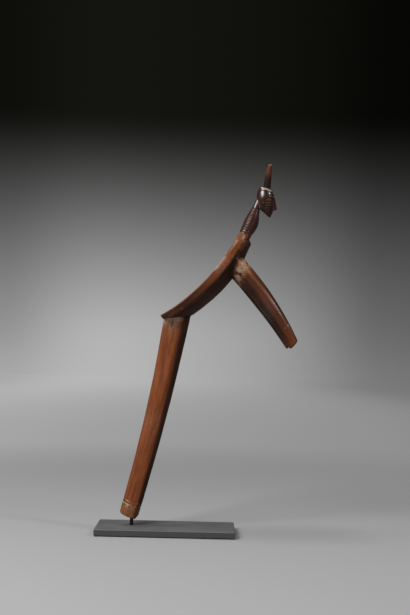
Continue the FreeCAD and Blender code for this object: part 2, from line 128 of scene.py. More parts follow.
class FrontLegSettings(PropertyGroup):
    length: size("Length", "From inside the seat to the foot, in the side view", 180)
    drop: angle("Drop", "Slope of the legs below level", 52.9)
    bow: size("Bow", "Outward bow of the legs", 5.5)
    placed_at: size("Place", "Distance of the legs from the tail, along the seat", 153)
    root_depth: size("Root depth", "Depth of the legs' axis under the seat's top", 16)
    root_spread: size("Root spread", "Distance of the legs from the middle, at the seat", 27)
    foot_spread: size("Foot spread", "Distance of the feet from the middle", 37)
    root_width: size("Root width", "Width inside the seat", 35)
    calf_width: size("Calf width", "Width at half length", 30.5)
    foot_width: size("Foot width", "Width at the foot", 18.5)
    foot_round: size("Foot rounding", "Worn rounding of the feet", 4.0)
    stance: angle("Stance", "Slope, as displayed, of the floor that the stool is used on", 48.94)
    cove: size("Cove", "Radius of the hollow where the legs leave the seat", 2.6)


class NeckSettings(PropertyGroup):
    under_top: size("Under the seat's top", "Depth of the neck's axis under the seat's top", 12.6)
    tilt: angle("Tilt", "How far the neck leans back from the seat's line", 3.0)
    length: size("Length", "From the seat to the head", 68)
    into_head: size("Into the head", "How far the neck runs on into the head", 8)
    collar_radius: size("Collar radius", "Radius of the smooth band at the base", 11.0)
    collar_length: size("Collar length", "Length of the smooth band at the base", 7)
    barrel_radius: size("Barrel radius", "Greatest radius", 13.0)
    barrel_at: size("Barrel at", "Distance of the greatest radius from the base", 32)
    top_radius: size("Top radius", "Radius under the head", 6.3)
    base_back: size("Base sway", "How far back of its axis the neck starts", 1.5)
    barrel_forward: size("Barrel sway", "How far forward of its axis the barrel lies", 0.9)
    top_back: size("Top sway", "How far back of its axis the neck ends", 2.0)
    ring_start: size("Ring start", "Distance of the first cut ring from the base", 12.5)
    ring_count: IntProperty(name="Rings", description="Number of cut rings", default=11, min=1)
    ring_pitch: size("Ring pitch", "Distance between cut rings", 4.6)
    ring_depth: size("Ring depth", "Depth of the cuts between rings", 0.75)


class HeadSettings(PropertyGroup):
    centre_x: size("Centre along", "Centre of the skull, along the plate", 161.5)
    centre_z: size("Centre height", "Centre of the skull, above the shelf", 583.8)
    skull_radius: size("Skull radius", "Radius of the skull", 15.2)
    crown_ahead: size("Crown ahead", "Middle of the crown in front of the centre", 2.0)
    crown_height: size("Crown height", "Height of the crown above the centre", 21.7)
    crown_tilt: angle("Crown tilt", "Slope of the crown down to the face", 16.0)
    crown_bevel: size("Crown bevel", "Width of the rubbed bevel round the crown", 2.2)
    voxel: size("Fineness", "Size of the cells that fuse the head's forms", 0.40)
    topknot_length: size("Topknot length", "Length of the peg on the crown", 44.5)
    topknot_base: size("Topknot base", "Radius of the peg at the crown", 6.3)
    topknot_waist: size("Topknot waist", "Radius of the peg a little below half height", 5.8)
    topknot_tip: size("Topknot tip", "Radius of the peg at its tip", 4.8)
    topknot_slant: angle("Topknot slant", "Slope of the peg's tip down to the back", 20.0)
    topknot_paring: share("Topknot paring", "Share of the tip that is pared away at the back", 0.5)
    topknot_lean: angle("Topknot lean", "Forward lean of the peg", 5.1)
    topknot_ahead: size("Topknot ahead", "Distance of the peg in front of the centre", 2.5)


class FinishSettings(PropertyGroup):
    wood_deep: tint("Wood, deep", "Darkest streaks of the brown wood", 0.125, 0.032, 0.010)
    wood_body: tint("Wood, body", "Main colour of the brown wood", 0.198, 0.052, 0.014)
    wood_light: tint("Wood, light", "Lightest streaks of the brown wood", 0.262, 0.078, 0.026)
    # Worn wood, also used for painted highlights on rims, ridges, facets, lit sides and the nape
    wood_worn: tint("Wood, worn", "Rubbed wood on edges and feet", 0.320, 0.165, 0.085)
    # Patina, also used for painted shade on the long leg's right side, the seat's underside and tail, the
    # front legs' lower side and under the jaw
    patina: tint("Patina", "Dark handled patina", 0.012, 0.006, 0.004)
    dark_body: tint("Dark wood, body", "Main colour of the neck and head", 0.040, 0.014, 0.012)
    dark_light: tint("Dark wood, light", "Lightest streaks of the neck and head", 0.085, 0.028, 0.020)
    # Pale residue, also used for painted highlights on the crown's rim, the nape and lit facets
    residue: tint("Residue", "Pale residue in cuts and scuffs", 0.500, 0.420, 0.330)
    paint: tint("Plate paint", "Slate grey paint of the plate", 0.052, 0.052, 0.059)
    # Paler paint for what faces up: dust and a painted sheen
    paint_dust: tint("Plate dust", "Dust on the plate's upper side", 0.150, 0.144, 0.145)
    steel: tint("Blackened steel", "Pin and screw", 0.020, 0.020, 0.022)
    steel_bare: tint("Bare steel", "Steel where the blackening is rubbed", 0.210, 0.205, 0.200)
    felt: tint("Felt", "Felt under the plate", 0.012, 0.012, 0.013)


class StudioSettings(PropertyGroup):
    camera_x: size("Camera along", "Place of the camera along the plate", 59.67)
    camera_distance: size("Camera distance", "Distance in front of the stool's middle", 1700)
    camera_height: size("Camera height", "Height above the shelf", 320.9)
    camera_pitch: angle("Camera pitch", "Upward tilt", 2.46)
    camera_roll: angle("Camera roll", "Turn about the line of sight", 1.351)
    lens: FloatProperty(name="Lens", description="Focal length", default=56.646, unit="CAMERA")
    floor_radius: size("Floor radius", "Radius of the floor", 9000)
    floor_tone: tint("Floor", "Pale grey floor", 0.395, 0.395, 0.399)
    backdrop_low: tint("Backdrop, low", "Backdrop at the horizon", 0.335, 0.335, 0.337)
    backdrop_high: tint("Backdrop, high", "Backdrop overhead", 0.004, 0.004, 0.003)
    ambient: FloatProperty(name="Ambient", description="Even light from all sides", default=0.28, min=0.0)
    key: watts("Key", "Power of the main lamp", 43.0)
    top: watts("Top", "Power of the lamp overhead", 6.5)
    side: watts("Side", "Power of the lamp at the right", 6.0)


class StoolSettings(PropertyGroup):
    long_leg: PointerProperty(type=LongLegSettings)
    seat: PointerProperty(type=SeatSettings)
    front_leg: PointerProperty(type=FrontLegSettings)
    neck: PointerProperty(type=NeckSettings)
    head: PointerProperty(type=HeadSettings)
    finish: PointerProperty(type=FinishSettings)
    studio: PointerProperty(type=StudioSettings)


def settings():
    return bpy.context.scene.carved_stool


# Lines and steps

def heading(slope):
    """Unit vector in the side view, at an angle above +X."""
    return Vector((math.cos(slope), 0.0, math.sin(slope)))


def follow_arc(start, first, turn, length, travelled):
    """Point and slope after travelling along an arc that turns evenly over its length."""
    here = first + turn * travelled / length
    shift = Vector((math.sin(here) - math.sin(first), 0.0, math.cos(first) - math.cos(here)))
    return start + shift * (length / turn), here


def ease(value):
    """Eased step from 0 to 1."""
    value = min(max(value, 0.0), 1.0)
    return value * value * (3.0 - 2.0 * value)


def ramp(value, start, span):
    """Eased step from 0 at start to 1 a span later. The value is in metres, the others in millimetres."""
    return ease((value - start * MM) / (span * MM))


def fade(value, span):
    """Share that falls away from 1 at 0. The value is in metres, its span in millimetres."""
    return math.exp(-max(value, 0.0) / (span * MM))


def groove(off, half_width):
    """Bell-shaped share for a cut or a mark: 1 in its middle and nearly 0 two half widths away."""
    return math.exp(-(off / half_width) ** 2)


def through(stations, place):
    """Smooth value at a place, through a short list of (place, value) stations."""
    last = len(stations) - 1
    if place <= stations[0][0]:
        return stations[0][1]
    if place >= stations[last][0]:
        return stations[last][1]
    left = max(i for i in range(last) if stations[i][0] <= place)

    def slope(i):
        a, b = max(i - 1, 0), min(i + 1, last)
        return (stations[b][1] - stations[a][1]) / (stations[b][0] - stations[a][0])

    (x0, y0), (x1, y1) = stations[left], stations[left + 1]
    span = x1 - x0
    t = (place - x0) / span
    return (
        y0 * (1 + 2 * t) * (1 - t) ** 2 + y1 * t * t * (3 - 2 * t)
        + span * (slope(left) * t * (1 - t) ** 2 - slope(left + 1) * t * t * (1 - t)))


def steps(start, end, pitch):
    """Evenly spaced places from start up to, but not including, end."""
    count = max(1, round(abs(end - start) / pitch))
    return [start + (end - start) * i / count for i in range(count)]


def rounded_rim(radius):
    """Rows of a quarter-round rim, each as its distance short of the end and its inset from the side."""
    bends = [math.radians(90 * i / RIM_STEPS) for i in range(RIM_STEPS + 1)]
    return [(radius * (1 - math.sin(bend)), radius * (1 - math.cos(bend))) for bend in bends]


# Skins

def flats(turn, facets, drift=0.0):
    """Share of a round limb's radius that is left by long knife cuts, each an (angle, depth) pair."""
    left = 1.0
    for centre, cut in facets:
        facing = math.cos(turn - math.radians(centre) - drift)
        if facing > 0.3:
            left = min(left, (1.0 - cut) / facing)
    return left


def skin(around, rows, place, merge=1e-7):
    """Closed skin: a grid rolled into a tube and laid out row by row, whose end rows draw in to points."""
    bm = bmesh.new()
    grain = bm.verts.layers.float_vector.new("grain")
    bmesh.ops.create_grid(bm, x_segments=around, y_segments=len(rows) - 1, size=0.5)
    for vert in bm.verts:
        turn = ((vert.co.x + 0.5) % 1.0) * math.tau
        row = rows[round((vert.co.y + 0.5) * (len(rows) - 1))]
        vert.co, vert[grain] = place(turn, row)
    bmesh.ops.remove_doubles(bm, verts=bm.verts, dist=merge)
    bmesh.ops.recalc_face_normals(bm, faces=bm.faces)
    return bm


def push(bm, depth):
    """Moves every point along its normal by depth(point, grain)."""
    bm.normal_update()
    grain = bm.verts.layers.float_vector["grain"]
    moves = [(v, v.normal * depth(v, v[grain])) for v in bm.verts]
    for vert, move in moves:
        vert.co += move


def soften(bm, rounds, chosen=None):
    """Wears edges down by averaging neighbouring points."""
    verts = [v for v in bm.verts if chosen is None or chosen(v)]
    for _ in range(rounds):
        bmesh.ops.smooth_vert(
            bm, verts=verts, factor=0.5, use_axis_x=True, use_axis_y=True, use_axis_z=True)


def trim(bm, point, out, spare=0.0):
    """Presses back what stands more than spare past a plane."""
    for vert in bm.verts:
        past = (vert.co - point).dot(out) - spare
        if past > 0:
            vert.co -= out * past


def surface_of(node):
    """Search tree over a CAD node's faces, in the frame."""
    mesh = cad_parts[node].data
    return BVHTree.FromPolygons([v.co for v in mesh.vertices], [p.vertices for p in mesh.polygons])


def cove(bm, surface, radius):
    """Flares a limb into the surface that it grows from, as a carved hollow of that radius."""
    bm.normal_update()
    moves = []
    for vert in bm.verts:
        spot, normal, _, distance = surface.find_nearest(vert.co)
        inside = (vert.co - spot).dot(normal) < 0
        outward = vert.normal - normal * vert.normal.dot(normal)
        if distance >= radius or outward.length < 0.2:
            continue
        near = radius - distance
        reach = radius - math.sqrt(radius ** 2 - near ** 2) if not inside else radius * ease(near / radius)
        moves.append((vert, outward.normalized() * (0.8 * reach)))
    for vert, move in moves:
        vert.co += move


# Marks of age and of the knife, and painted light and shade

def curvature(bm, rounds=3):
    """How far each point stands out of its neighbours, from -1 in a hollow to 1 on an arris."""
    bm.normal_update()
    raised = {}
    for vert in bm.verts:
        near = [e.other_vert(vert).co for e in vert.link_edges]
        middle = sum(near, Vector()) / len(near)
        spacing = sum((p - vert.co).length for p in near) / len(near)
        raised[vert] = (vert.co - middle).dot(vert.normal) / max(spacing, 1e-9)
    for _ in range(rounds):
        raised = {
            v: 0.5 * raised[v] + 0.5 * sum(raised[e.other_vert(v)] for e in v.link_edges) / len(v.link_edges)
            for v in bm.verts}
    return raised


# wear and residue also carry painted highlights, and patina also carries painted shade
STORED = ("wear", "residue", "patina", "warm", "polish")


def weather(bm, marks, arris=2.2):
    """Stores what the finish needs at each point, painted highlights and painted shade among it: marks(point,
    grain) gives the values of STORED.
    """
    layers = [bm.verts.layers.float.new(name) for name in STORED]
    grain = bm.verts.layers.float_vector["grain"]
    raised = curvature(bm)
    for vert in bm.verts:
        wear, residue, patina, warm, polish = marks(vert.co, vert[grain])
        edge = raised[vert] * arris
        values = (wear + min(max(edge, 0.0), 0.6), residue, patina + max(-edge, 0.0), warm, polish)
        for layer, value in zip(layers, values):
            vert[layer] = min(max(value, 0.0), 1.0)


def stretch(point, along, across):
    """Grain coordinates in cells that are so long and wide, in millimetres."""
    return Vector((point[0] / (along * MM), point[1] / (across * MM), point[2] / (across * MM)))


def ripple(point, along, across):
    """Even noise in grain coordinates, stretched along the fibres."""
    return noise.noise(stretch(point, along, across))


def scallop(point, along, across):
    """Shallow overlapping tool cuts: 0 between them and 1 at the middle of each."""
    near = noise.voronoi(stretch(point, along, across))[0][0]
    return 1.0 - min(near, 1.0) ** 2


# Pieces

def mesh_of(bm, name):
    """Mesh made from a bmesh, which is freed."""
    mesh = bpy.data.meshes.new(name)
    bm.to_mesh(mesh)
    bm.free()
    return mesh


def place_object(name, data):
    """New object in the scene."""
    item = bpy.data.objects.new(name, data)
    bpy.context.collection.objects.link(item)
    return item


def finish_piece(bm, name, body, slot, *nodes):
    """Turns a bmesh into a smooth-shaded piece that rides on a body and stands for CAD nodes."""
    for face in bm.faces:
        face.smooth = True
    piece = place_object(name, mesh_of(bm, name))
    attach(piece, body)
    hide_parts(*nodes)
    piece.data.materials.append(finish_of(slot))


# Long leg

# Radius of the hollow where the leg leaves the seat, and how far the leg runs on inside it
LEG_COVE, INTO_SEAT = 1.2 * MM, 2 * MM
# Flats along a limb: angle in degrees, and depth as a share of the radius
LEG_FACETS = ((266, 0.016), (318, 0.028), (214, 0.012), (96, 0.022), (150, 0.012), (42, 0.018))
# Knife strokes over the foot: both ends, round and up the leg, in millimetres
SCRATCHES = (
    (-6.0, 20.5, -3.0, 12.5), (-0.5, 19.0, -3.0, 12.5), (2.5, 18.0, 5.5, 13.0), (-10.5, 15.0, -7.5, 19.0))


def long_leg_axis(travelled):
    leg = settings().long_leg
    foot = Vector((leg.foot_x, 0.0, leg.foot_z))
    first = math.pi / 2 - leg.foot_lean
    return follow_arc(foot, first, leg.foot_lean - leg.top_lean, leg.length, travelled)


def stance_plane():
    """Point and outward normal of the floor that the three feet share in use."""
    leg = settings().front_leg
    along = heading(leg.stance)
    return front_leg_point(0, 0.0)[0], Vector((along.z, 0.0, -along.x))


def long_leg_rows():
    """Rows from inside the seat, down the leg, round the foot's rim and up into the socket."""
    leg = settings().long_leg
    inside_seat, under_seat, over_rings = leg.length + 13 * MM, leg.length - 16 * MM, 34 * MM
    rows = [("limb", inside_seat, 0.0, i / 6) for i in range(6)]
    for start, end, pitch in (
            (inside_seat, under_seat, 0.5 * MM), (under_seat, over_rings, 1.3 * MM),
            (over_rings, leg.foot_round, 0.36 * MM)):
        rows += [("limb", s, 0.0, 1.0) for s in steps(start, end, pitch)]
    rows += [("limb", rise, inset, 1.0) for rise, inset in rounded_rim(leg.foot_round)]
    rows += [("sole", i / 10, 0.0, 0.0) for i in range(1, 11)]
    rows += [("bore", i / 12, 0.0, 1.0) for i in range(1, 13)]
    rows += [("bore", 1.0, 0.0, 1.0 - i / 4) for i in range(1, 5)]
    return rows


def place_on_long_leg(turn, row):
    leg = settings().long_leg
    kind, first, inset, kept = row
    if kind == "limb":
        return long_leg_surface(turn, first, inset, kept)
    rim, grain = long_leg_surface(turn, 0.0, leg.foot_round, 1.0)
    centre, slope = long_leg_axis(0.0)
    sole = heading(slope - math.pi / 2 - leg.foot_tilt)
    ahead, beside = leg.socket_radius * math.cos(turn), leg.socket_radius * math.sin(turn)
    hole = Vector((leg.socket_x + ahead, beside, 0.0))
    hole.z = centre.z + (hole.x - centre.x) * sole.z / sole.x
    if kind == "sole":
        return rim.lerp(hole, first), Vector(grain).lerp(Vector((0.0, hole.x - centre.x, hole.y)), first)
    middle = Vector((leg.socket_x, 0.0, hole.z))
    inside = middle + (hole - middle) * kept
    inside.z += (leg.socket_top - inside.z) * first
    return inside, Vector((inside.z - centre.z, inside.x - centre.x, inside.y))


def long_leg_surface(turn, rise, inset, kept):
    """Point on the leg that far above the sole's plane, drawn in by inset or to a share of its radius."""
    leg = settings().long_leg
    stations = (
        (0.0, leg.foot_width), (0.45, leg.waist_width), (0.725, leg.upper_width), (1.0, leg.top_width))
    half = through(stations, rise / leg.length) / 2
    drift = 0.12 * noise.noise(Vector((rise * 9.0, 3.1, 0.7)))
    radius = flats(turn, LEG_FACETS, drift)
    u = math.cos(turn) * half * radius
    v = math.sin(turn) * half * leg.flatness * radius
    drawn = kept * max(0.0, 1.0 - inset / math.hypot(u, v))
    u, v = u * drawn, v * drawn
    tilted = 1.0 - ramp(rise, 30, 90)
    travelled = rise - u * math.tan(leg.foot_tilt) * tilted
    centre, slope = long_leg_axis(travelled)
    point = centre + heading(slope - math.pi / 2) * u + SIDE * v
    return point, Vector((travelled, u, v))


def scratch_depth(grain):
    """Depth, from 0 to 1, of the short knife strokes under the cut rings."""
    here = Vector((grain[1], grain[0]))
    deepest = 0.0
    for x0, s0, x1, s1 in SCRATCHES:
        a, b = Vector((x0, s0)) * MM, Vector((x1, s1)) * MM
        along = min(max((here - a).dot(b - a) / (b - a).length_squared, 0.0), 1.0)
        off = (here - a.lerp(b, along)).length
        deepest = max(deepest, groove(off, 0.6 * MM))
    return deepest


def ring_cut(point, grain):
    """Depth, from 0 to 1, of the two rings cut round the leg, which fade and waver as hand cuts do."""
    leg = settings().long_leg
    waver = 0.9 * MM * noise.noise(Vector((grain[1] * 60, grain[2] * 60, 5.0)))
    deepest = 0.0
    for height in (leg.ring_low, leg.ring_high):
        off = (grain[0] - height + grain[1] * 0.04 - waver) / leg.ring_width
        bitten = 0.85 + 0.4 * noise.noise(point * 90 + Vector((0, 0, height * 900)))
        deepest = max(deepest, bitten * groove(off, 1.0))
    if grain[2] < 0:
        deepest = max(deepest, 0.6 * scratch_depth(grain))
    return deepest


def in_socket(point):
    leg = settings().long_leg
    off = math.hypot(point.x - leg.socket_x, point.y)
    return off < leg.socket_radius * 1.05


def build_long_leg():
    leg, seat_surface = settings().long_leg, surface_of("seat")
    bm = skin(AROUND["long_leg"], long_leg_rows(), place_on_long_leg)
    cove(bm, seat_surface, LEG_COVE)
    on_flat, down = underside_plane()
    trim(bm, on_flat, -down, INTO_SEAT)
    trim(bm, *stance_plane())
    soften(bm, 8, lambda v: 12 * MM < v.co.z < leg.foot_z + 8 * MM and not in_socket(v.co))

    def carved(vert, grain):
        if in_socket(vert.co):
            return 0.0
        bulge = 0.35 * MM * ripple(grain, 55, 14) + 0.12 * MM * ripple(grain, 16, 4)
        return bulge - leg.ring_depth * ring_cut(vert.co, grain)

    push(bm, carved)

    def marks(point, grain):
        travelled, u, _ = grain
        below = seat_surface.find_nearest(point)[3] or 0.0
        # shaded darkens the leg's right side with patina: painted shade
        shaded = ramp(u, 5, 11)
        # band and haze are pale marks under the seat, kept off the painted shade; haze also stands in for
        # light where the seat's shadow falls: painted light
        band = groove(below - 3.5 * MM, 4 * MM) * (1.0 - shaded)
        streak = ease(0.55 + 1.2 * ripple(grain, 45, 1.7))
        haze = fade(below, 40) * (0.58 + 0.60 * streak) * (1.0 - shaded)
        foot = fade(travelled, 7)
        cut = ring_cut(point, grain) * ease(0.85 + 1.1 * noise.noise(point * 150))
        smudge = groove(travelled - 21 * MM, 8 * MM) * ease(0.55 + 1.6 * noise.noise(point * 140))
        grime = (1.0 - ramp(travelled, 24, 10)) * ease(0.30 + 1.5 * noise.noise(point * 115))
        dusty = groove(travelled - 14 * MM, 18 * MM)
        # lighter is a paler band on the lit side, kept off the painted shade: a painted sheen
        rubbed = groove(travelled - 165 * MM, 45 * MM) * (1.0 - shaded)
        wear = 0.55 * band + 0.56 * haze + 0.30 * foot + 0.40 * dusty + 0.36 * rubbed
        # the rings' pale residue is dimmed on the painted shade
        residue = 0.92 * cut * (1.0 - 0.7 * shaded) + 0.10 * band + 0.56 * haze + 0.34 * smudge
        patina = 0.04 + 0.10 * ripple(grain, 150, 22) + 0.45 * shaded + 0.50 * ramp(u, 6, 8) + 0.42 * grime
        return wear, residue, patina, 0.0, 0.18 - 0.15 * shaded

    weather(bm, marks)
    finish_piece(bm, "long_leg_carved", "stool", "brown_wood", "long_leg")


# Seat

def seat_line(travelled):
    seat = settings().seat
    tail = Vector((seat.tail_x, 0.0, seat.tail_z))
    return follow_arc(tail, seat.heading, seat.length / seat.curve_radius, seat.length, travelled)


def seat_width(travelled):
    seat = settings().seat
    wide = seat.tail_width + (seat.width - seat.tail_width) * ease(travelled / (seat.length * seat.widest))
    drawn_in = ease((travelled - seat.length + seat.shoulder) / seat.shoulder)
    return wide + (seat.end_width - wide) * drawn_in


def seat_depth(travelled):
    seat = settings().seat
    deepest = seat.length * seat.deepest
    grown = seat.tail_depth + (seat.belly_depth - seat.tail_depth) * ease(travelled / deepest)
    return grown + (seat.end_depth - grown) * ease((travelled - deepest) / (seat.length - deepest))


# Shares of the points round the seat's cross-section
TOP_SHARE, EDGE_SHARE, UNDER_SHARE = 0.38, 0.08, 0.46


def plank_outline(round_share, travelled):
    """Sideways place and depth on the seat's cross-section: over the top, down an edge, under and up."""
    seat = settings().seat
    half, depth = seat_width(travelled) / 2, seat_depth(travelled)
    past_top = round_share - TOP_SHARE
    past_edge = past_top - EDGE_SHARE
    past_under = past_edge - UNDER_SHARE
    if past_top < 0:
        across = 1 - 2 * round_share / TOP_SHARE
        dish = seat.dish * (half * 2 / seat.width) * (1.0 - ramp(travelled - seat.length, -75, 35))
        return half * across, dish * (1 - across * across)
    if past_edge < 0:
        return -half, seat.edge * past_top / EDGE_SHARE
    if past_under < 0:
        across = -1 + 2 * past_edge / UNDER_SHARE
        sag = depth - seat.edge
        radius = (half * half + sag * sag) / (2 * sag)
        return half * across, depth - radius + math.sqrt(radius ** 2 - (half * across) ** 2)
    return half, seat.edge * (1 - past_under / EDGE_SHARE)


def underside_plane():
    """Point and outward normal of the flat over the long leg."""
    seat = settings().seat
    tail, slope = seat_line(0.0)
    along = heading(seat.underside)
    return tail + heading(slope - math.pi / 2) * seat.tail_lip, Vector((along.z, 0.0, -along.x))


def underside_limit(travelled):
    """Depth at which the flat over the long leg cuts the seat off."""
    on_flat, out = underside_plane()
    top, slope = seat_line(travelled)
    return (on_flat - top).dot(out) / heading(slope - math.pi / 2).dot(out)


def round_end(travelled, y, depth):
    """Draws the top and sides of the seat's end in to the neck, so that one flows into the other."""
    seat, neck = settings().seat, settings().neck
    to_end = travelled - seat.length
    drawn = ramp(to_end, -34, 34) * (1.0 - ramp(depth, 13, 6))
    swell = 0.4 * MM * (1.0 - 2.0 * ramp(to_end, -11, 10))
    middle = Vector((0.0, neck.under_top - neck.base_back))
    out = Vector((y, depth)) - middle
    if out.length < neck.collar_radius:
        return y, depth
    ring = middle + out.normalized() * (neck.collar_radius + swell)
    return Vector((y, depth)).lerp(ring, drawn)


def place_on_seat(turn, row):
    travelled, kept = row
    y, depth = round_end(travelled, *plank_outline(turn / math.tau, travelled))
    limit = underside_limit(travelled)
    if limit > 0:
        depth = min(depth, limit)
    middle = 0.5 * min(seat_depth(travelled), max(limit, 0.0))
    y, depth = y * kept, middle + (depth - middle) * kept
    top, slope = seat_line(travelled)
    return top + heading(slope - math.pi / 2) * depth + SIDE * y, Vector((travelled, y, depth))


def seat_rows():
    """Rows from the middle of the tail's end, along the seat and in to a point inside the neck."""
    length, into_neck, ends = settings().seat.length, 13 * MM, 14
    rows = [(0.0, i / ends) for i in range(ends)]
    rows += [(s, 1.0) for s in steps(0.0, length, 1.15 * MM)]
    return rows + [(length + into_neck * i / ends, 1.0 - i / ends) for i in range(ends + 1)]


def build_seat():
    seat = settings().seat
    bm = skin(AROUND["seat"], seat_rows(), place_on_seat)
    layer = bm.verts.layers.float_vector["grain"]
    soften(bm, 3)
    soften(bm, 4, lambda v: v[layer][0] > 20 * MM and v[layer][2] < 4 * MM)
    soften(bm, 26, lambda v: 15 * MM < v[layer][0] < seat.length - 4 * MM and v[layer][2] > 6 * MM)

    def carved(vert, grain):
        under = ease((grain[2] - seat.edge * 0.8) / (4 * MM))
        wave = 0.30 * MM * ripple(grain, 40, 16) + 0.10 * MM * ripple(grain, 12, 4)
        return wave - under * seat.tool_marks * scallop(grain, 17, 9)

    push(bm, carved)
    chip_tail(bm)

    def marks(point, grain):
        travelled, y, depth = grain
        to_end = travelled - seat.length
        half = max(seat_width(travelled) / 2, 1 * MM)
        outward = abs(y) / half

        # Zones across the plank and at its two ends
        on_top = 1.0 - ramp(depth, 0, 4) if outward < 0.93 else 0.0
        rim = ease((outward - 0.90) / 0.08) * (1.0 - ramp(depth, 0.6, 2.4))
        on_edge = ease((outward - 0.93) / 0.05) * (1.0 - on_top)
        drawn, turned, tongue = ramp(to_end, -45, 45), ramp(to_end, -48, 16), ramp(to_end, -10, 10)
        border = seat.edge * (1.0 - 0.32 * drawn) + 2.5 * MM * ripple(grain, 30, 9) + 4.5 * MM * tongue
        under = ramp(depth - border, -2, 5)
        end = drawn * (1.0 - ramp(depth - 4.5 * MM * tongue, 8.5, 3))
        # back is a pale band along the end's upper edge: a painted highlight
        back = end * (1.0 - ramp(depth, 3.6, 5))
        tail = fade(travelled, 5)

        # Marks within the zones
        # pale is a painted highlight where a facet at the seat's end catches the light
        pale = tongue * groove(depth - 11.5 * MM, 3.2 * MM)
        # darkened is painted shade on the edge and underside towards the tail
        darkened = (1.0 - ramp(travelled, 50, 115)) * (1.0 - on_top) * (1.0 - 0.7 * rim)
        scuffed = groove(travelled - 131 * MM, 9 * MM) * on_edge * ease(0.4 + 2.0 * noise.noise(point * 160))
        rubbed = 0.22 * on_top * (1.0 - outward ** 2) + 0.42 * rim * (1.0 - tail)
        flank = turned * ramp(depth, 0.6, 1.5) * (1.0 - ramp(depth, 4.5, 4))
        dusted = on_edge * (1.0 - under) * ramp(travelled, 100, 30) * (1.0 - turned)
        film = max(dusted, flank, 0.75 * under * drawn) * (0.56 - 0.20 * ramp(depth, 2, 4))

        wear = rubbed * (1.0 - end) + 0.50 * scuffed + 0.08 * end + 0.34 * back + 0.40 * pale
        residue = max(0.30 * scuffed, film, 0.40 * back, 0.56 * pale)
        # the underside's darkness is patina with painted shade
        patina = max(0.08 + 0.88 * under + 0.25 * on_top, 0.92 * darkened, 0.5 * tail)
        patina = patina * (1.0 - 0.5 * end) + 0.30 * end * (1.0 - back)
        polish = 0.05 + 0.40 * on_top * (1.0 - 0.6 * end) + 0.25 * on_edge * (1.0 - under) * (1.0 - darkened)
        return wear, residue, patina, 0.0, polish

    weather(bm, marks, 1.2)
    finish_piece(bm, "seat_carved", "stool", "brown_wood", "seat")


def chip_tail(bm):
    """Breaks the thin lip at the tail, most at its corners."""
    grain = bm.verts.layers.float_vector["grain"]
    inward = heading(settings().seat.heading)
    for vert in bm.verts:
        travelled, y, depth = vert[grain]
        reach = 1.0 - ramp(travelled, 0, 8)
        corner = ramp(abs(y), 28, 14)
        bite = max(0.0, noise.noise(Vector((y * 140, depth * 220, 2.0))) + 0.10 + 0.25 * corner)
        vert.co += inward * (bite * reach * (2.2 + 3.0 * corner) * MM)


# Front legs

def front_leg_point(side, travelled):
    """Axis of a front leg at a distance from its foot, and the line that it runs along towards the seat."""
    leg = settings().front_leg
    top, slope = seat_line(leg.placed_at)
    root = top + heading(slope - math.pi / 2) * leg.root_depth + SIDE * (side * leg.root_spread)
    outwards = SIDE * (side * (leg.foot_spread - leg.root_spread))
    run = heading(-leg.drop) * leg.length + outwards
    down = 1.0 - travelled / run.length
    bowed = heading(math.pi / 2 - leg.drop)
    centre = root + run * down + bowed * (leg.bow * 4 * down * (1 - down))
    along = -(run + bowed * (leg.bow * 4 * (1 - 2 * down)))
    return centre, along.normalized()


FRONT_FACETS = ((255, 0.010), (305, 0.014), (200, 0.012), (100, 0.014), (150, 0.012), (40, 0.012))


